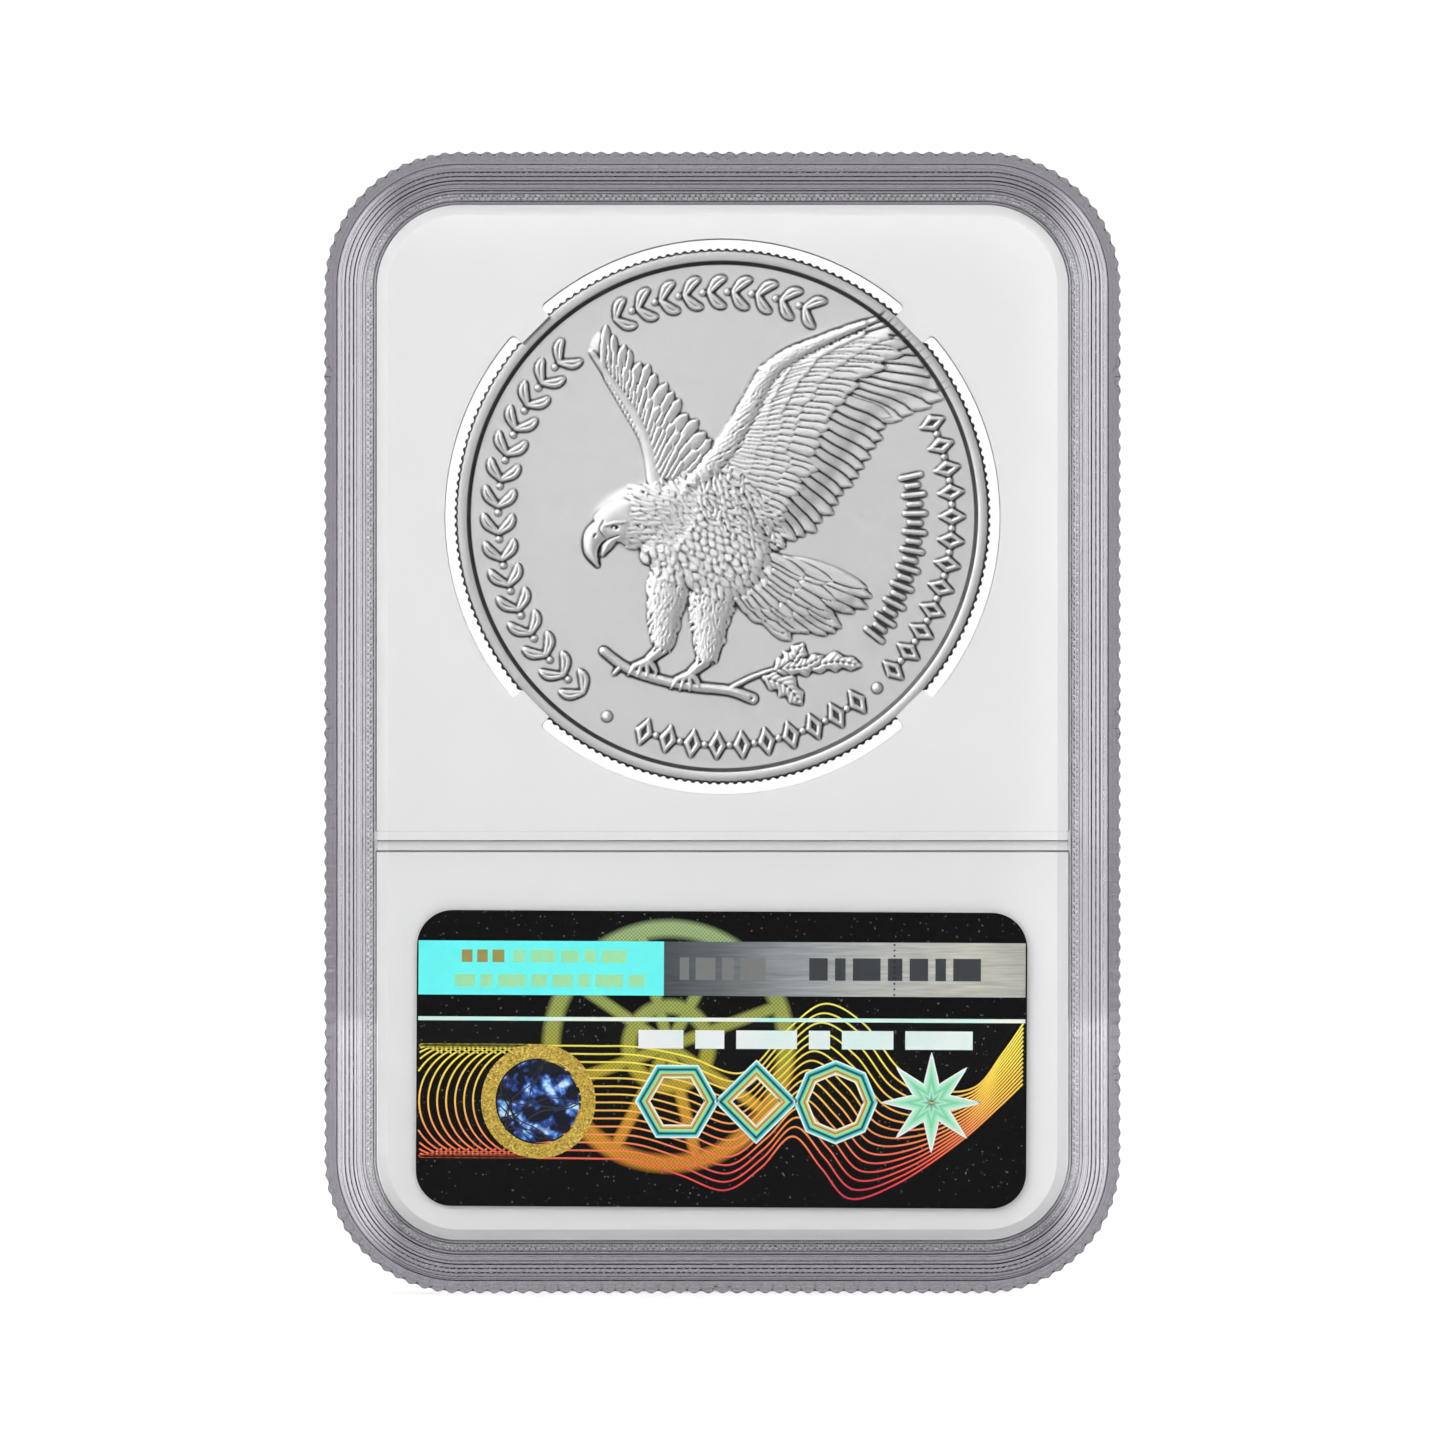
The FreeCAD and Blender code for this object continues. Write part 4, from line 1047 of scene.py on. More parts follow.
def branch_and_leaves(relief):
    def bark(s, t, d, length):
        rings = 0.014 * np.sin(s * 60 + 2.5 * t) * np.sin(s * 17 + 1)
        return 0.23 * np.sqrt(1 - t * t) + rings

    stroke(relief, ((-9.0, -10.2), (-7.2, -11.5), (-4.6, -12.4), (-2.0, -12.9), (0.6, -13.2), (2.3, -13.8)),
           [0.32, 0.36, 0.34, 0.36, 0.34, 0.38], bark, None, "max", 50)
    stroke(relief, ((2.22, -13.78), (2.26, -13.80)), [0.22, 0.22],
           lambda s, t, d, length: -0.10 * (1 - t * t), None, "add", 2)
    stroke(relief, ((-7.6, -11.2), (-8.2, -11.9)), [0.22, 0.12], dome(0.2), None, "max")
    stroke(relief, ((0.4, -13.1), (2.4, -12.1), (4.4, -11.5), (6.4, -11.4), (7.6, -11.6)),
           [0.20, 0.16, 0.13, 0.11, 0.09], dome(0.18), None, "max", 40)
    for root, tip, half, bend in (((4.0, -11.7), (6.1, -9.7), 0.82, -0.12),
                                  ((6.6, -11.5), (10.5, -11.3), 0.62, 0.10),
                                  ((3.2, -12.2), (6.0, -14.2), 0.80, 0.12),
                                  ((4.6, -11.5), (7.6, -10.6), 0.62, -0.10)):
        leaf(relief, root, tip, half, bend)


NECK = ((-9.4, 0.5), (-7.6, 1.8), (-5.4, 2.4), (-3.2, 2.4), (-1.8, 1.4), (-2.4, -0.6), (-4.2, -2.2),
        (-6.4, -2.4), (-8.0, -1.9), (-9.0, -1.2))


def groove(depth):
    return lambda s, t, d, length: -depth * (1 - t * t)


def head(relief, random):
    mound(relief, NECK, 0.35, 2.4, 8)
    spots = spots_in(NECK, 0.36, math.radians(-28), random)
    spots = spots[spots[:, 0] > -7.6 + 0.4 * spots[:, 1]]
    scatter(relief, spots, lambda spot: math.radians(-30 - 5 * (spot[0] + 5)), 1.05, 0.16,
            feather(0.03, rise=0.04, shaft=0.0, barbs=0.012, barb_step=0.12), random, relief.base,
            0.16)
    # skull and bill
    skull = Relief(-relief.origin)
    fill(skull, ((-9.7, -0.9), (-9.6, 0.1), (-8.6, 1.05), (-7.3, 1.45), (-6.5, 0.9), (-6.4, -0.6),
                 (-7.4, -1.9), (-8.9, -1.8)), 0.31, 1.0)
    skull.soften(2)
    relief.height = np.maximum(relief.height, skull.height)
    stroke(relief, ((-9.0, -0.9), (-9.72, -1.5), (-9.95, -2.6), (-9.45, -3.75)),
           [0.85, 0.74, 0.48, 0.08], dome(0.26, 0.55, 0.04), None, "max", 40)
    stroke(relief, ((-8.4, -1.7), (-8.85, -2.4), (-9.1, -2.9)), [0.46, 0.38, 0.12],
           dome(0.22, 0.6), None, "max")
    stroke(relief, ((-7.9, -1.45), (-8.6, -1.72), (-9.2, -2.15), (-9.45, -2.8)), [0.06, 0.09, 0.05],
           groove(0.14), None, "add", 30)
    stroke(relief, ((-9.0, -0.30), (-9.30, -1.0), (-8.9, -1.6)), [0.05, 0.08, 0.05],
           groove(0.07), None, "add", 30)
    stroke(relief, ((-9.62, -1.35), (-9.72, -1.55)), [0.09, 0.07], groove(0.10), None, "add", 6)
    # eye under its brow
    stroke(relief, ((-8.25, -0.80), (-8.00, -0.86)), [0.22, 0.16], groove(0.13), None, "add", 6)
    stroke(relief, ((-8.23, -0.83), (-8.21, -0.84)), [0.13, 0.13], dome(0.11), None, "add", 4)
    stroke(relief, ((-7.3, -0.42), (-8.1, -0.48), (-9.0, -0.70)), [0.06, 0.15, 0.05],
           dome(0.09), None, "add", 20)


# ---------------------------------------------------------------- border ornaments

def polar(radius, degrees):
    angle = math.radians(degrees)
    return np.array([radius * math.cos(angle), radius * math.sin(angle)])


def plateau(height, steep):
    return lambda s, t, d, length: height * np.clip(steep * (1 - np.abs(t)), 0, 1)


def laurel_band(relief, radius, start, end, spacing, size):
    """Pairs of laurel leaves on an arc, with a bead between pairs."""
    count = max(1, round(math.radians(abs(end - start)) * radius / spacing))
    turn = (end - start) / count

    def form(s, t, d, length):
        return 0.15 * (1 - np.abs(t) ** 6) + 0.02 - 0.07 * np.exp(-(d / 0.06) ** 2)

    for number in range(count + 1):
        angle = start + turn * number
        root = polar(radius, angle - 0.40 * turn)
        for reach in (0.5, -0.5):
            tip = polar(radius + reach * size, angle + 0.30 * turn)
            swell = polar(radius + reach * size, angle) - polar(radius, angle)
            middle = between(root, tip, 0.5) + swell * 0.25
            stroke(relief, (root, middle, tip), blade_widths(size * 0.165, 0.35, 0.5, 0.2), form, None)
        if number < count:
            bead = polar(radius, angle + 0.36 * turn)
            stroke(relief, (bead, bead + 0.01), [0.2, 0.2], dome(0.15, 0.4), None, "max", 2)


def lozenge_band(relief, radius, start, end, spacing, size):
    """Upright lozenges on an arc, each with a sunk centre, and a bead between each two."""
    count = max(1, round(math.radians(abs(end - start)) * radius / spacing))
    turn = (end - start) / count
    for number in range(count + 1):
        angle = start + turn * number
        low, high = polar(radius - size / 2, angle), polar(radius + size / 2, angle)
        stroke(relief, (low, high), [0.03, size * 0.34, 0.03], plateau(0.16, 3.2), None, "max", 6)
        inner = (between(low, high, 0.25), between(low, high, 0.75))
        stroke(relief, inner, [0.02, size * 0.15, 0.02], plateau(-0.11, 3.0), None, "add", 6)
        if number < count:
            bead = polar(radius, angle + turn / 2)
            stroke(relief, (bead, bead + 0.01), [0.2, 0.2], dome(0.14, 0.4), None, "max", 2)


def bar_band(relief, radius, start, end, spacing, size):
    """Upright bars on an arc, tall and short in turn."""
    count = max(1, round(math.radians(abs(end - start)) * radius / spacing))
    for number in range(count + 1):
        angle = start + (end - start) * number / count
        tall = size * (0.5 if number % 2 == 0 else 0.26)
        stroke(relief, (polar(radius - tall, angle), polar(radius + tall, angle)), [0.2, 0.2],
               plateau(0.14, 2.6), None, "max", 2)


def strike_border(relief):
    laurel_band(relief, 17.0, 229, 134, 1.95, 2.2)
    laurel_band(relief, 17.0, 116, 66, 1.95, 2.2)
    lozenge_band(relief, 17.35, 250, 306, 1.9, 2.1)
    lozenge_band(relief, 17.4, 318, 384, 1.9, 2.0)
    bar_band(relief, 14.6, 322, 372, 0.72, 1.5)
    for radius, angle in ((17.5, 240), (17.5, 312)):
        spot = polar(radius, angle)
        stroke(relief, (spot, spot + 0.01), [0.36, 0.36], dome(0.16, 0.4), None, "max", 2)


# ---------------------------------------------------------------- the obverse

def strike_sunrise(relief):
    """A generic sunrise: a rayed sun over waves, between two laurel branches."""
    centre = np.array([0.0, -1.2])
    for number in range(49):
        angle = math.radians(-6 + 192 * number / 48)
        way = np.array([math.cos(angle), math.sin(angle)])
        reach = 11.6 if number % 2 == 0 else 9.6
        if 10 < number < 38 and number % 4 == 0:
            reach = 14.2
        stroke(relief, (centre + way * 5.6, centre + way * reach), [0.20, 0.34, 0.04],
               ridge(0.20), None, "max", 2)
    stroke(relief, (centre, centre + 0.01), [5.0, 5.0], dome(0.30, 0.5, 0.06), None, "max", 2)
    stroke(relief, (centre, centre + 0.01), [4.1, 4.1],
           lambda s, t, d, length: 0.03 * np.cos(np.abs(t) * 26), None, "add", 2)
    # sea
    rows, columns = relief.window(np.array([[-15.0, -12.5], [15.0, -1.6]]), 0)
    u, v = relief.u[rows, columns], relief.v[rows, columns]
    level = -2.2 + 0.22 * np.sin(u * 0.9)
    deep = np.clip((level - v) / 0.10, 0, 1)
    round_edge = np.clip((14.2 - np.hypot(u, v)) / 0.2, 0, 1)
    waves = 0.16 + 0.06 * np.abs(np.sin((v + 0.30 * np.sin(u * 0.9 + v * 1.7)) * 3.1))
    here = relief.height[rows, columns]
    mask = deep * round_edge
    relief.height[rows, columns] = here * (1 - mask) + waves * mask
    # laurel branches
    for side in (-1, 1):
        stem = [tuple(np.array([side, 1]) * polar(12.4, angle)) for angle in range(-84, 30, 9)]
        stroke(relief, stem, [0.24, 0.20, 0.16, 0.10], dome(0.24), None, "max", 60)
        line = trace(stem, 60)
        for number in range(15):
            share = 0.08 + 0.9 * number / 14
            root = point_on(line, share)
            ahead = point_on(line, min(share + 0.05, 1)) - point_on(line, share - 0.05)
            ahead = ahead / np.hypot(*ahead)
            normal = np.array([-ahead[1], ahead[0]])
            for way in (-1, 1):
                tip = root + ahead * 1.5 + normal * way * 1.35
                stroke(relief, (root, between(root, tip, 0.5) + normal * way * 0.25, tip),
                       blade_widths(0.40, 0.35, 0.5, 0.25),
                       lambda s, t, d, length: (0.26 - 0.08 * np.abs(t) ** 3
                                                - 0.06 * np.exp(-(d / 0.06) ** 2)), None)
    lozenge_band(relief, 17.3, 60, 120, 1.9, 2.0)
    laurel_band(relief, 17.0, 232, 134, 1.95, 2.2)
    laurel_band(relief, 17.0, -52, 46, 1.95, 2.2)
    lozenge_band(relief, 17.3, 248, 292, 1.9, 2.0)


# ---------------------------------------------------------------- coin

REED_COUNT = 198
REED_SAMPLES = 8
REED_DEPTH = 0.13
COIN_RIM_INNER = 19.43
COIN_FIELD_EDGE = 19.12
COIN_FIELD_DROP = 0.42
COIN_SHOULDER = 0.30
RELIEF_SCALE = 1.2


def face_height(relief, radius, angle):
    """How far the coin's face stands above its field's level, in mm, at rings of points."""
    raised = relief.sample(radius * np.cos(angle), radius * np.sin(angle)) * RELIEF_SCALE
    raised = raised * np.clip((COIN_FIELD_EDGE - radius) / 0.12, 0, 1)
    dish = 0.05 * (radius / COIN_FIELD_EDGE) ** 4
    step = np.clip((radius - COIN_FIELD_EDGE) / (COIN_RIM_INNER - COIN_FIELD_EDGE), 0, 1)
    return (raised + dish) * (1 - step) + COIN_FIELD_DROP * step


def coin_face(relief, spacing, halvings):
    """Rings of (angle, radius, height, painted shade) arrays from the wall's edge to the middle. The number
    of points in a ring halves at each radius in halvings."""
    count = REED_COUNT * REED_SAMPLES
    angle = 2 * np.pi * np.arange(count) / count
    phase = (np.arange(count) % REED_SAMPLES) / REED_SAMPLES
    reed = REED_DEPTH * np.clip(0.5 - 0.75 * np.cos(2 * np.pi * phase), 0, 1)
    outer = COIN_RADIUS / MM
    rings = []
    for step in range(5):
        turn = math.pi / 2 * step / 4
        inset = COIN_SHOULDER * (1 - math.cos(turn))
        radius = outer - inset - reed * (1 - inset / COIN_SHOULDER)
        height = np.full(count, COIN_FIELD_DROP - COIN_SHOULDER * (1 - math.sin(turn)))
        # Painted shade: the reeded edge and the shoulder are made near black, the shoulder's top ring only
        # a quarter as dark.
        rings.append((angle, radius, height, np.full(count, 1.0 if step < 4 else 0.25)))
    edges = [COIN_RIM_INNER + 0.03, COIN_RIM_INNER - 0.01, COIN_RIM_INNER - 0.10,
             COIN_FIELD_EDGE + 0.10, COIN_FIELD_EDGE + 0.01]
    radii = edges + list(np.arange(COIN_FIELD_EDGE - 0.03, spacing, -spacing))
    halvings = list(halvings)
    for radius in radii:
        if halvings and radius < halvings[0]:
            halvings.pop(0)
            count //= 2
            angle = 2 * np.pi * np.arange(count) / count
        ring = np.full(count, radius)
        painted_shade = relief.painted_shade(ring * np.cos(angle), ring * np.sin(angle))
        # Painted shade: the rim's inner wall and its foot are made near black all round.
        if COIN_FIELD_EDGE - 0.08 < radius < COIN_RIM_INNER - 0.05:
            painted_shade = np.ones(count)
        rings.append((angle, ring, face_height(relief, ring, angle), painted_shade))
    return rings


def ring_faces(start, count, after, count_after):
    """Faces between two rings of points, the second with as many points or half as many."""
    faces = []
    for number in range(count_after):
        other = (number + 1) % count_after
        if count_after == count:
            faces.append((start + number, start + other, after + other, after + number))
        else:
            first = 2 * number
            faces.append((start + first, start + first + 1, start + (first + 2) % count,
                          after + other, after + number))
    return faces


def add_coin_face(points, faces, shade, rings, side):
    """Add one face's rings of points and the faces between them. Returns the outer ring's start."""
    first = len(points)
    start, count = None, None
    level = (COIN_HALF / MM - COIN_FIELD_DROP)
    for angle, radius, height, painted_shade in rings:
        here = len(points)
        x = -side * radius * np.cos(angle) * MM
        z = radius * np.sin(angle) * MM + COIN_Z
        y = side * (level + height) * MM
        points.extend(zip(x.tolist(), y.tolist(), z.tolist()))
        shade.extend(painted_shade.tolist())
        if start is not None:
            faces.extend(ring_faces(start, count, here, len(angle)))
        start, count = here, len(angle)
    middle = len(points)
    points.append((0.0, side * (level + rings[-1][2].mean()) * MM, COIN_Z))
    shade.append(0.0)
    faces.extend((start + number, start + (number + 1) % count, middle) for number in range(count))
    return first


def make_coin(material):
    reverse, obverse = Relief(20.0), Relief(20.0)
    strike_border(reverse)
    strike_bird(reverse, np.random.default_rng(11))
    strike_sunrise(obverse)
    for relief in (reverse, obverse):
        relief.finish()
    points, faces, shade = [], [], []
    front = add_coin_face(points, faces, shade, coin_face(reverse, 0.075, (9.4, 4.7, 2.3)), -1)
    back = add_coin_face(points, faces, shade, coin_face(obverse, 0.11, (18.9, 9.4, 4.7)), 1)
    count = REED_COUNT * REED_SAMPLES
    for number in range(count):
        other = (number + 1) % count
        mirror, mirror_other = (count // 2 - number) % count, (count // 2 - other) % count
        faces.append((front + other, front + number, back + mirror, back + mirror_other))
    coin = mesh_object("struck_coin", points, faces, [material], smooth_angle=75.0)
    # Painted shade for the silver material, one value at each point.
    keep_values(coin, "painted_shade", shade)
    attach(coin, "root")
    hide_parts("coin")
    return coin


make_coin(silver_material())

# ---------------------------------------------------------------- label artwork

LABEL_X = -0.07
LABEL_Z = 17.7
LABEL_TILT = math.radians(0.3)
GRADE_X, GRADE_Z = (GRADE_LOW.x + GRADE_HIGH.x) / 2 / MM, (GRADE_LOW.z + GRADE_HIGH.z) / 2 / MM
GRADE_FACE = GRADE_HIGH.y / MM
LABEL_FACE = 1.7
LINE_FACE = 1.708
FOIL_FACE = 1.73
PRINT_FACE = 1.738
LINE_WIDTH = 0.13
SEAL_X, SEAL_Z = -13.86, -3.24
BAND_MIDDLE = 6.85


def on_label(places, face):
    """Places on the label, right and up from its middle in mm, as points of the frame. A face
    below zero is one of the grade label's, straight and seen from behind."""
    places = np.asarray(places, float)
    if face < 0:
        points = np.stack([GRADE_X - places[:, 0], np.full(len(places), -face),
                           GRADE_Z + places[:, 1]], axis=1) * MM
        return [tuple(point) for point in points.tolist()]
    along, up = math.cos(LABEL_TILT), math.sin(LABEL_TILT)
    x = LABEL_X + places[:, 0] * along + places[:, 1] * up
    z = LABEL_Z - places[:, 0] * up + places[:, 1] * along
    points = np.stack([x, np.full(len(x), -face), z], axis=1) * MM
    return [tuple(point) for point in points.tolist()]


def add_ribbon(points, faces, line, width, low=LABEL_FACE, high=LINE_FACE):
    """Add a thin closed strip along a line on the label."""
    line = np.asarray(line, float)
    ahead = np.gradient(line, axis=0)
    ahead /= np.hypot(ahead[:, 0], ahead[:, 1])[:, None]
    side = np.stack([-ahead[:, 1], ahead[:, 0]], axis=1) * width / 2
    first, count = len(points), len(line)
    for edge, face in ((line + side, high), (line - side, high), (line - side, low),
                       (line + side, low)):
        points.extend(on_label(edge, face))
    corners = [first + number * count for number in range(4)]
    for step in range(count - 1):
        for number in range(4):
            a, b = corners[number] + step, corners[(number + 1) % 4] + step
            faces.append((a, b, b + 1, a + 1))
    faces.append(tuple(corner for corner in reversed(corners)))
    faces.append(tuple(corner + count - 1 for corner in corners))


def label_piece(name, points, faces, material, replaced=None):
    piece = mesh_object(name, points, faces, [material], smooth_angle=20.0)
    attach(piece, "root")
    if replaced:
        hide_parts(replaced)
    return piece


def make_guilloche(material):
    """Fine lines: circles trailing away from the seal to the left, waves to the right."""
    points, faces = [], []
    for number in range(1, 15):
        angle = np.radians(np.linspace(58, 302, 90))
        x = SEAL_X - 0.68 * number + 4.26 * np.cos(angle)
        z = SEAL_Z + 4.26 * np.sin(angle)
        inside = x > -22.95
        edges = np.flatnonzero(np.diff(np.concatenate([[0], inside.astype(int), [0]])))
        for start, end in zip(edges[::2], edges[1::2]):
            if end - start > 2:
                line = np.stack([x[start:end], z[start:end]], axis=1)
                add_ribbon(points, faces, line, LINE_WIDTH)
    upper = np.array([(-14.0, 0.98), (-9.7, 0.96), (-6.4, 0.9), (-2.6, 0.2), (1.6, -1.0), (4.9, 2.2),
                      (7.8, 4.25), (10.8, 2.7), (13.4, -0.6), (16.2, -2.2), (19.2, -2.0),
                      (21.3, 0.6), (22.95, 3.0)])
    lower = np.array([(-14.0, -7.54), (-9.7, -7.56), (-6.4, -7.7), (-3.0, -8.8), (0.3, -9.9),
                      (3.0, -8.2), (5.4, -5.8), (7.6, -8.2), (9.8, -10.5), (13.6, -9.2),
                      (18.0, -6.2), (20.9, -3.6), (22.95, -1.6)])
    for number in range(15):
        line = trace(between(upper, lower, number / 14), 180)
        add_ribbon(points, faces, line[line[:, 0] < 22.9], LINE_WIDTH)
    return label_piece("guilloche_lines", points, faces, material)


def outline_ring(sides, radius, turn, waist=None, per_side=8):
    """Points round a polygon, or round a star with a waist radius between its points."""
    corners = []
    for number in range(sides):
        angle = math.radians(turn + 360 * number / sides)
        corners.append((radius * math.cos(angle), radius * math.sin(angle)))
        if waist:
            angle += math.pi / sides
            corners.append((waist * math.cos(angle), waist * math.sin(angle)))
    corners = np.array(corners)
    share = np.arange(per_side)[:, None] / per_side
    return np.vstack([corner * (1 - share) + after * share
                      for corner, after in zip(corners, np.roll(corners, -1, axis=0))])


def add_foil(points, faces, across, centre, outer, inner, shares):
    """Add a foil between two outlines, closed behind. across keeps each point's share of the way
    from the outer outline to the inner one."""
    centre = np.array(centre)
    first, count = len(points), len(outer)
    loops = [(share, FOIL_FACE) for share in shares] + [(1.0, LABEL_FACE), (0.0, LABEL_FACE)]
    for share, face in loops:
        points.extend(on_label(centre + between(outer, inner, share), face))
        across.extend([share] * count)
    for loop in range(len(loops)):
        here, after = first + loop * count, first + (loop + 1) % len(loops) * count
        for number in range(count):
            other = (number + 1) % count
            faces.append((here + number, here + other, after + other, after + number))


def make_motifs(material):
    points, faces, across = [], [], []
    shares = np.linspace(0, 1, 15)
    for number, (sides, turn) in enumerate(((6, 0), (4, 0), (8, 0))):
        outer = outline_ring(sides, 3.1, turn)
        inner = outline_ring(sides, 3.1 - 0.85 / math.cos(math.pi / sides), turn)
        add_foil(points, faces, across, (-3.35 + 6.0 * number, -3.2), outer, inner, shares)
    piece = label_piece("motif_foil_rings", points, faces, material, "motif_foils")
    keep_values(piece, "across", across)


def make_star(material):
    points, faces, across = [], [], []
    outer = outline_ring(8, 3.7, 0, 1.45)
    add_foil(points, faces, across, (15.9, -3.2), outer, outer * 0.06, np.linspace(0, 1, 12))
    piece = label_piece("star_foil_rays", points, faces, material, "star_foil")
    keep_values(piece, "across", across)


def make_outlines(material):
    """Thin bright lines round the motifs and the star."""
    points, faces = [], []
    rings = [((15.9, -3.2), outline_ring(8, 3.78, 0, 1.48))]
    for number, sides in enumerate((6, 4, 8)):
        centre = (-3.35 + 6.0 * number, -3.2)
        rings.append((centre, outline_ring(sides, 3.14, 0)))
        rings.append((centre, outline_ring(sides, 3.06 - 0.85 / math.cos(math.pi / sides), 0)))
    for centre, ring in rings:
        line = np.vstack([ring, ring[:2]]) + np.array(centre)
        add_ribbon(points, faces, line, 0.10, FOIL_FACE, PRINT_FACE)
    return label_piece("foil_outlines", points, faces, material)


def make_bar_rows(name, rows, material, low=FOIL_FACE, high=PRINT_FACE):
    """Rows of short bars. Each row is (start, end, middle, height, widths, gap)."""
    points, faces = [], []
    for start, end, middle, height, widths, gap in rows:
        x, number = start, 0
        while x + widths[number % len(widths)] <= end:
            width = widths[number % len(widths)]
            add_ribbon(points, faces, [(x, middle), (x + width, middle)], height, low, high)
            x += width + gap
            number += 1
    return label_piece(name, points, faces, material)


def make_disc_lines(material):
    """A web of dark lines in the seal's disc."""
    points, faces = [], []
    for number in range(11):
        angle = 2 * math.pi * number * 0.382
        offset = 2.4 * math.sin(number * 2.3)
        half = math.sqrt(3.1 ** 2 - offset ** 2)
        share = np.linspace(-half, half, 16)
        bow = offset + 0.25 * np.sin(share * 1.4 + number)
        x = SEAL_X + share * math.cos(angle) - bow * math.sin(angle)
        z = SEAL_Z + share * math.sin(angle) + bow * math.cos(angle)
        add_ribbon(points, faces, np.stack([x, z], axis=1), 0.10, FOIL_FACE, PRINT_FACE)
    return label_piece("seal_web", points, faces, material)


def colour_ramp(tree, value, stops):
    item = tree.nodes.new("ShaderNodeValToRGB")
    ramp = item.color_ramp
    while len(ramp.elements) < len(stops):
        ramp.elements.new(0.5)
    for element, (place, colour) in zip(ramp.elements, stops):
        element.position = place
        element.color = (*colour, 1)
    tree.links.new(value, item.inputs[0])
    return item.outputs[0]


def label_axes(tree):
    """How far right and up a point is from the label's middle, in mm."""
    split = tree.nodes.new("ShaderNodeSeparateXYZ")
    tree.links.new(object_point(tree), split.inputs[0])
    x = maths(tree, "MULTIPLY_ADD", split.outputs["X"], 1000.0, -LABEL_X)
    z = maths(tree, "MULTIPLY_ADD", split.outputs["Z"], 1000.0, -LABEL_Z)
    return x, z


def speckle(tree, scale, low, high):
    """Small bright cells at random: 0 to 1."""
    cells = node(tree, "TexVoronoi", Scale=scale)
    tree.links.new(object_point(tree), cells.inputs["Vector"])
    split = tree.nodes.new("ShaderNodeSeparateXYZ")
    tree.links.new(cells.outputs["Color"], split.inputs[0])
    return remap(tree, split.outputs["X"], 0.0, 1.0, low, high)


def glint(tree, shader, scale=7000.0, strength=0.25):
    add_bump(tree, shader, noise(tree, scale, 2.0), strength, 0.01 * MM)


def dots(tree, pitch):
    """A fine screen of dots, 0 to 1."""
    x, z = label_axes(tree)
    rows = maths(tree, "SINE", maths(tree, "MULTIPLY", z, 2 * math.pi / pitch))
    columns = maths(tree, "SINE", maths(tree, "MULTIPLY", x, 2 * math.pi / pitch))
    return maths(tree, "MULTIPLY_ADD", maths(tree, "MULTIPLY", rows, columns), 0.5, 0.5)


def film_material():
    """Black holographic film: fine silver specks, and soft screened shapes, a generic wheel."""
    material, tree, shader = new_material("label_film")
    x, z = label_axes(tree)
    across, up = maths(tree, "ADD", x, 4.0), maths(tree, "ADD", z, -1.0)
    reach = maths(tree, "SQRT", maths(tree, "ADD", maths(tree, "MULTIPLY", across, across),
                                      maths(tree, "MULTIPLY", up, up)))

    def soft_band(value, middle, half):
        away = maths(tree, "ABSOLUTE", maths(tree, "SUBTRACT", value, middle))
        return remap(tree, away, 1.0, 0.0, half * 0.6, half * 1.35)

    shapes = maths(tree, "MAXIMUM", soft_band(reach, 8.9, 0.62), soft_band(reach, 3.0, 0.55))
    inside = remap(tree, reach, 1.0, 0.0, 8.6, 8.9)
    for degrees in (20, 62, 104, 146):
        angle = math.radians(degrees)
        turned = maths(tree, "ADD", maths(tree, "MULTIPLY", across, math.sin(angle)),
                       maths(tree, "MULTIPLY", up, -math.cos(angle)))
        spoke = maths(tree, "MULTIPLY", soft_band(turned, 0.0, 0.42), inside)
        shapes = maths(tree, "MAXIMUM", shapes, spoke)
    screened = maths(tree, "MULTIPLY", shapes, remap(tree, dots(tree, 0.30), 0.45, 1.0))
    glow = colour_ramp(tree, remap(tree, z, 0.0, 1.0, -11.0, 11.0),
                       [(0.0, (0.98, 0.32, 0.03)), (0.30, (0.92, 0.48, 0.05)),
                        (0.50, (0.62, 0.58, 0.07)), (0.75, (0.48, 0.60, 0.18)),
                        (1.0, (0.55, 0.74, 0.36))])
    black = blend_colour(tree, noise(tree, 900.0), (0.0003, 0.0003, 0.0006), (0.0016, 0.0016, 0.0022))
    specks = speckle(tree, 9000.0, 0.982, 1.0)
    base = blend_sockets(tree, maths(tree, "MULTIPLY", specks, 0.20), black, (0.6, 0.6, 0.62))
    base = blend_sockets(tree, maths(tree, "MULTIPLY", screened, 0.75), base, glow)
    tree.links.new(base, shader.inputs["Base Color"])
    shader.inputs["Specular IOR Level"].default_value = 0.03
    tree.links.new(remap(tree, noise(tree, 1500.0), 0.25, 0.40), shader.inputs["Roughness"])
    glint(tree, shader, 5000.0, 0.08)
    return material


def height_foil(name, stops, low, high, wander=1.2):
    """A foil whose colour changes up the label."""
    material, tree, shader = new_material(name)
    z = label_axes(tree)[1]
    drift = maths(tree, "MULTIPLY_ADD", noise(tree, 260.0, 1.0), wander, -wander / 2)
    level = remap(tree, maths(tree, "ADD", z, drift), 0.0, 1.0, low, high)
    tree.links.new(colour_ramp(tree, level, stops), shader.inputs["Base Color"])
    shader.inputs["Specular IOR Level"].default_value = 0.3
    tree.links.new(remap(tree, noise(tree, 3000.0), 0.30, 0.45), shader.inputs["Roughness"])
    glint(tree, shader)
    return material


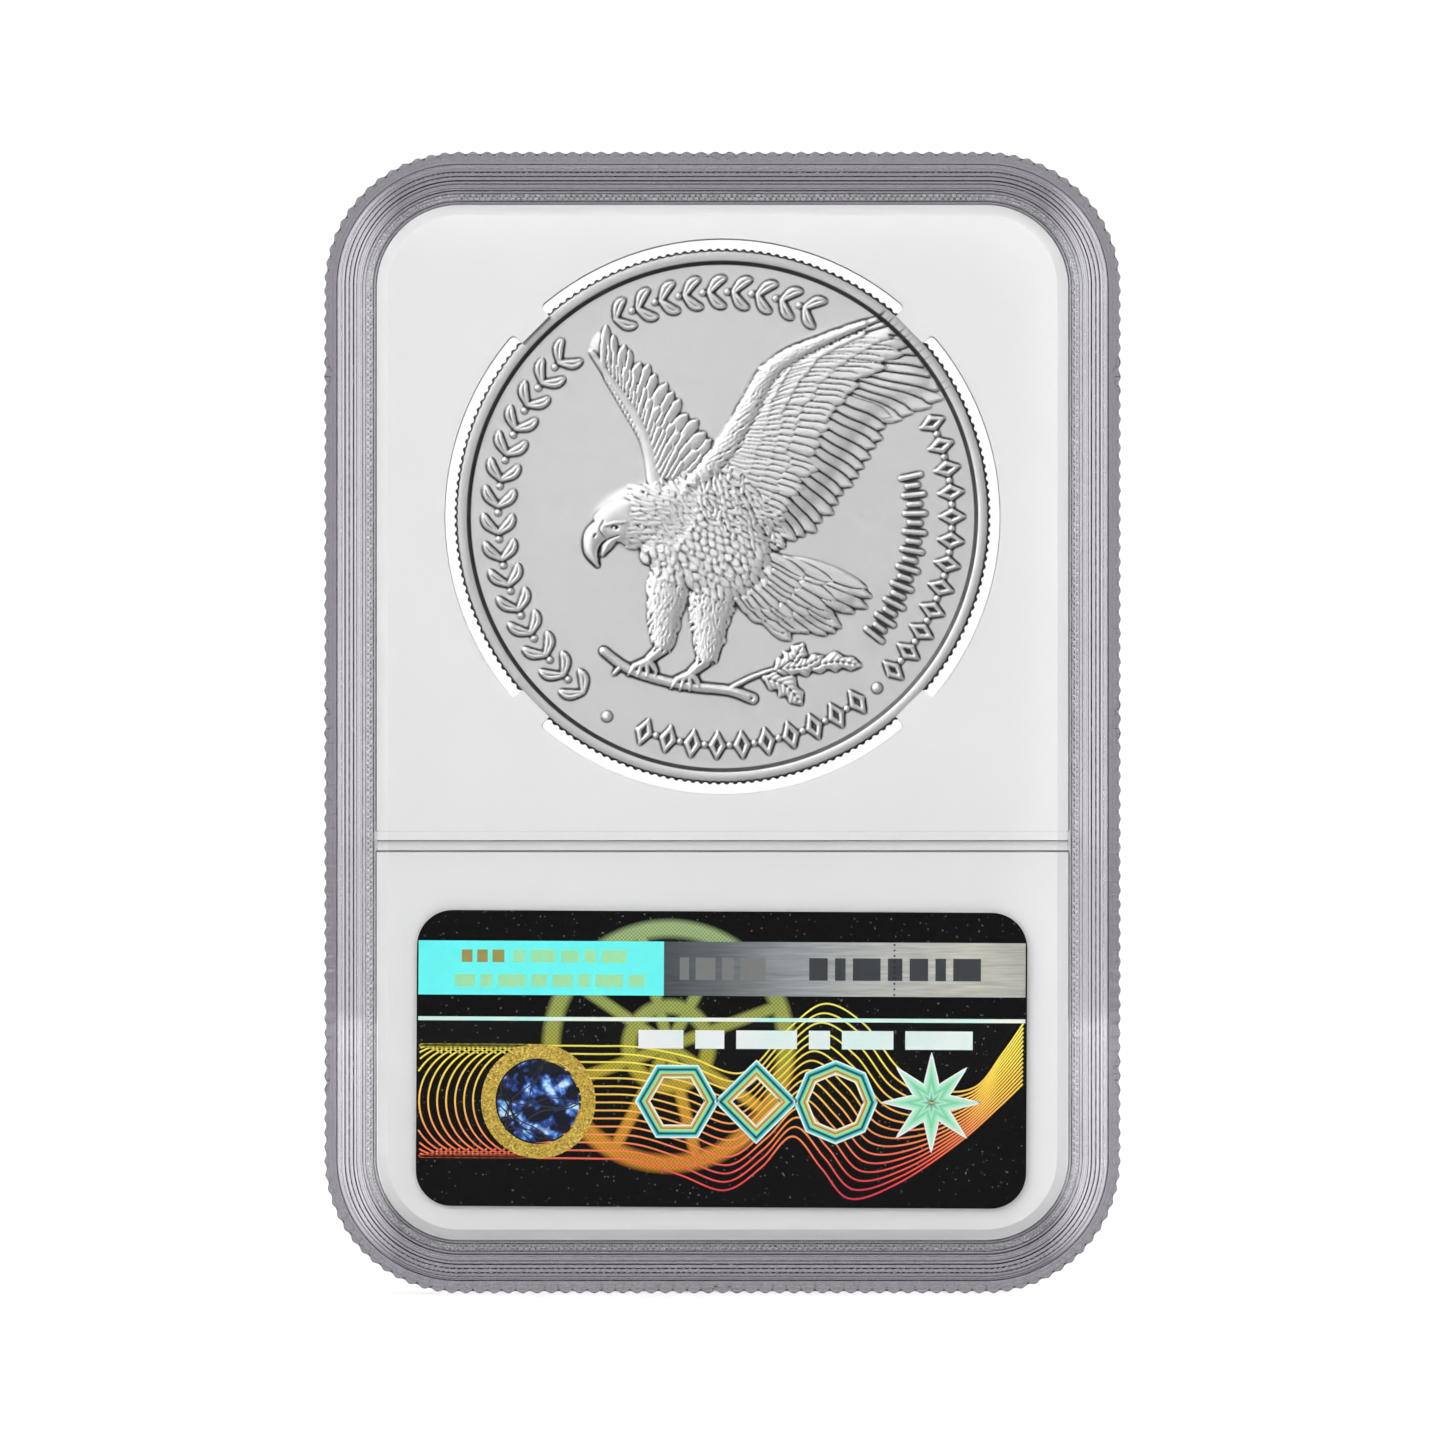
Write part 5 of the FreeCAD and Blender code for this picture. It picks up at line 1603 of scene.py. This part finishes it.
def width_foil(name, stops, wander=0.10):
    """A foil whose colour changes across its strokes and drifts with a soft sheen along them."""
    material, tree, shader = new_material(name)
    across = node(tree, "Attribute", attribute_name="across").outputs["Fac"]
    drift = maths(tree, "MULTIPLY_ADD", noise(tree, 300.0, 1.0), wander, -wander / 2)
    colour = colour_ramp(tree, maths(tree, "ADD", across, drift), stops)
    screen = remap(tree, dots(tree, 0.24), 0.86, 1.0)
    darker = tree.nodes.new("ShaderNodeMix")
    darker.data_type = "RGBA"
    darker.blend_type = "MULTIPLY"
    darker.inputs[0].default_value = 1.0
    tree.links.new(colour, darker.inputs[6])
    tree.links.new(screen, darker.inputs[7])
    tree.links.new(darker.outputs[2], shader.inputs["Base Color"])
    shader.inputs["Specular IOR Level"].default_value = 0.4
    tree.links.new(remap(tree, noise(tree, 3000.0), 0.22, 0.38), shader.inputs["Roughness"])
    glint(tree, shader)
    return material


def line_foil(name, first, second):
    """A pale foil that drifts between two colours along its length."""
    material, tree, shader = new_material(name)
    tree.links.new(blend_colour(tree, remap(tree, noise(tree, 170.0, 1.0), 0.0, 1.0, 0.35, 0.65),
                                first, second), shader.inputs["Base Color"])
    tree.links.new(remap(tree, noise(tree, 3000.0), 0.30, 0.45), shader.inputs["Roughness"])
    glint(tree, shader)
    return material


def teal_material():
    """Cyan foil with a screen of tiny darker dashes."""
    material, tree, shader = new_material("teal_foil")
    dashes = remap(tree, dots(tree, 0.26), 0.0, 1.0, 0.80, 0.95)
    wear = maths(tree, "MULTIPLY", dashes, remap(tree, noise(tree, 1400.0), 0.0, 0.7, 0.42, 0.62))
    tone = blend_colour(tree, noise(tree, 220.0), (0.10, 0.92, 0.93), (0.17, 1.0, 0.93))
    tree.links.new(blend_sockets(tree, wear, tone, (0.10, 0.42, 0.42)), shader.inputs["Base Color"])
    tree.links.new(remap(tree, noise(tree, 3000.0), 0.30, 0.45), shader.inputs["Roughness"])
    glint(tree, shader)
    return material


def silver_band_material():
    """Brushed silver foil, dark slate at its left end and warm light grey at its right."""
    material, tree, shader = new_material("silver_band")
    x = label_axes(tree)[0]
    tone = colour_ramp(tree, remap(tree, x, 0.0, 1.0, -4.4, 23.0),
                       [(0.0, (0.045, 0.055, 0.065)), (0.14, (0.09, 0.105, 0.115)),
                        (0.38, (0.30, 0.32, 0.33)), (0.62, (0.48, 0.49, 0.46)),
                        (0.86, (0.54, 0.53, 0.46)), (1.0, (0.42, 0.42, 0.37))])
    stretched = tree.nodes.new("ShaderNodeMapping")
    stretched.inputs["Scale"].default_value = (0.06, 1.0, 1.0)
    tree.links.new(object_point(tree), stretched.inputs["Vector"])
    grain = node(tree, "TexNoise", Scale=6000.0, Detail=3.0)
    tree.links.new(stretched.outputs[0], grain.inputs["Vector"])
    streaks = remap(tree, grain.outputs["Fac"], 0.78, 1.18, 0.3, 0.7)
    lit = tree.nodes.new("ShaderNodeMix")
    lit.data_type = "RGBA"
    lit.blend_type = "MULTIPLY"
    lit.inputs[0].default_value = 1.0
    tree.links.new(tone, lit.inputs[6])
    tree.links.new(streaks, lit.inputs[7])
    tree.links.new(lit.outputs[2], shader.inputs["Base Color"])
    tree.links.new(remap(tree, noise(tree, 3000.0), 0.35, 0.50), shader.inputs["Roughness"])
    add_bump(tree, shader, grain.outputs["Fac"], 0.15, 0.01 * MM)
    return material


def glitter_material(name, dark, mid, light, scale):
    """Glitter: coarse grains of three tones, each catching the light its own way."""
    material, tree, shader = new_material(name)
    cells = node(tree, "TexVoronoi", Scale=scale)
    tree.links.new(object_point(tree), cells.inputs["Vector"])
    split = tree.nodes.new("ShaderNodeSeparateXYZ")
    tree.links.new(cells.outputs["Color"], split.inputs[0])
    colour = colour_ramp(tree, split.outputs["X"], [(0.0, dark), (0.45, mid), (0.85, mid), (1.0, light)])
    tree.links.new(colour, shader.inputs["Base Color"])
    shader.inputs["Metallic"].default_value = 0.35
    tree.links.new(remap(tree, split.outputs["Y"], 0.25, 0.5), shader.inputs["Roughness"])
    add_bump(tree, shader, split.outputs["Z"], 0.35, 0.02 * MM)
    return material


def seal_disc_material():
    """Deep blue holographic foil, mottled with bright blue and white patches."""
    material, tree, shader = new_material("seal_disc_foil")
    patches = noise(tree, 620.0, 3.0, 0.55)
    colour = colour_ramp(tree, patches, [(0.0, (0.001, 0.002, 0.005)), (0.47, (0.002, 0.004, 0.015)),
                                         (0.53, (0.02, 0.06, 0.30)), (0.57, (0.14, 0.32, 0.78)),
                                         (0.61, (0.62, 0.86, 0.95)), (1.0, (0.95, 0.98, 1.0))])
    tint = colour_ramp(tree, noise(tree, 900.0, 2.0),
                       [(0.0, (1.0, 0.75, 0.5)), (0.38, (1.0, 0.9, 0.8)), (0.5, (1.0, 1.0, 1.0)),
                        (0.62, (0.7, 0.95, 1.0)), (1.0, (0.5, 0.7, 1.0))])
    mixed = tree.nodes.new("ShaderNodeMix")
    mixed.data_type = "RGBA"
    mixed.blend_type = "MULTIPLY"
    mixed.inputs[0].default_value = 0.8
    tree.links.new(colour, mixed.inputs[6])
    tree.links.new(tint, mixed.inputs[7])
    tree.links.new(mixed.outputs[2], shader.inputs["Base Color"])
    tree.links.new(remap(tree, noise(tree, 1500.0), 0.15, 0.30), shader.inputs["Roughness"])
    glint(tree, shader, 2500.0, 0.2)
    return material


SUNSET = [(0.0, (0.62, 0.03, 0.05)), (0.17, (0.80, 0.10, 0.06)), (0.36, (0.92, 0.30, 0.08)),
          (0.52, (0.95, 0.55, 0.08)), (0.72, (0.93, 0.74, 0.08)), (1.0, (0.88, 0.84, 0.12))]
RAINBOW = [(0.0, (0.35, 0.85, 0.62)), (0.12, (0.10, 0.80, 0.85)), (0.24, (0.02, 0.22, 0.26)),
           (0.30, (0.0, 0.004, 0.006)), (0.38, (0.01, 0.10, 0.12)), (0.46, (0.10, 0.72, 0.62)),
           (0.58, (0.30, 0.86, 0.38)), (0.68, (0.66, 0.72, 0.18)), (0.76, (0.52, 0.13, 0.05)),
           (0.82, (0.58, 0.16, 0.06)), (0.90, (0.72, 0.68, 0.14)), (1.0, (0.42, 0.86, 0.42))]
MINT = [(0.0, (0.75, 0.98, 0.85)), (0.30, (0.42, 0.90, 0.62)), (0.55, (0.20, 0.72, 0.40)),
        (0.75, (0.48, 0.92, 0.66)), (1.0, (0.10, 0.30, 0.22))]

make_guilloche(height_foil("sunset_foil", SUNSET, -10.0, 3.5))
make_motifs(width_foil("rainbow_foil", RAINBOW))
make_star(width_foil("mint_foil", MINT))
make_outlines(line_foil("outline_foil", (0.86, 0.90, 0.92), (0.95, 0.97, 0.95)))
make_disc_lines(flat_material("seal_web_ink", (0.003, 0.003, 0.006), 0.5))
make_bar_rows("teal_band_bars", [(-20.2, -5.6, 5.9, 0.95, (1.5, 0.9, 2.1, 1.2), 0.42),
                                 (-15.8, -5.6, 7.75, 0.95, (0.9, 1.9, 1.3), 0.42)],
              flat_material("pale_lime_foil", (0.36, 0.82, 0.42), 0.4))
make_bar_rows("teal_band_mark", [(-19.7, -16.4, 7.75, 0.95, (0.8, 0.8, 0.9), 0.36)],
              flat_material("old_gold_foil", (0.36, 0.28, 0.06), 0.4))
make_bar_rows("silver_band_bars_light", [(-3.2, 4.0, BAND_MIDDLE, 1.7, (0.7, 1.5, 0.9, 1.9), 0.5)],
              flat_material("grey_foil", (0.20, 0.21, 0.20), 0.4))
make_bar_rows("silver_band_bars_dark", [(6.6, 20.6, BAND_MIDDLE, 1.7, (1.4, 0.8, 2.1, 1.1), 0.55)],
              flat_material("slate_foil", (0.035, 0.04, 0.045), 0.4))
make_bar_rows("perforation_dots", [(12.98, 13.13, level, 0.14, (0.14,), 1.0)
                                   for level in np.arange(4.95, 8.9, 0.42).tolist()],
              flat_material("dot_ink", (0.003, 0.003, 0.003), 0.5))

WORDS = (1.9, 3.1, 1.2, 2.4, 3.6, 1.6, 2.8)
make_bar_rows("grade_label_print",
              [(-19.6, -2.0, -1.2, 1.15, WORDS, 0.7), (-19.6, -6.0, -3.6, 0.75, WORDS[2:], 0.55),
               (3.0, 20.0, 7.2, 1.5, WORDS[1:], 0.8), (3.0, 16.0, 4.4, 1.0, WORDS[3:], 0.6),
               (3.0, 18.0, 2.2, 1.0, WORDS, 0.6), (3.0, 12.0, 0.0, 1.0, WORDS[2:], 0.6),
               (3.0, 20.0, -3.2, 0.5, WORDS[4:], 0.4), (3.0, 19.0, -4.3, 0.5, WORDS[1:], 0.4)],
              flat_material("grey_print", (0.05, 0.05, 0.06), 0.5),
              -GRADE_FACE, -GRADE_FACE - 0.01)

# ---------------------------------------------------------------- CAD nodes that stay

KEPT_NODES = {
    "core_insert": insert_material(),
    "security_label": film_material(),
    "security_label_pad": flat_material("pad_white", (0.8, 0.8, 0.78), 0.8),
    "teal_foil_band": teal_material(),
    "silver_foil_band": silver_band_material(),
    "divider_foil_line": line_foil("divider_foil", (0.45, 0.95, 0.90), (0.92, 0.96, 0.86)),
    "bar_foils": line_foil("bar_foil", (0.72, 0.94, 0.88), (0.93, 0.96, 0.96)),
    "seal_ring": glitter_material("gold_glitter", (0.30, 0.17, 0.01), (0.66, 0.45, 0.06),
                                  (0.90, 0.78, 0.22), 9000.0),
    "seal_disc": seal_disc_material(),
    "grade_label": flat_material("card", (0.85, 0.85, 0.83), 0.6),
    "grade_label_pad": flat_material("pad_white_2", (0.8, 0.8, 0.78), 0.8),
    "grade_label_stripe": flat_material("print_blue", (0.03, 0.10, 0.30), 0.5),
    "grade_label_code": flat_material("print_black", (0.02, 0.02, 0.02), 0.5),
}
for name, material in KEPT_NODES.items():
    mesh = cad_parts[name].data
    mesh.materials.clear()
    mesh.materials.append(material)
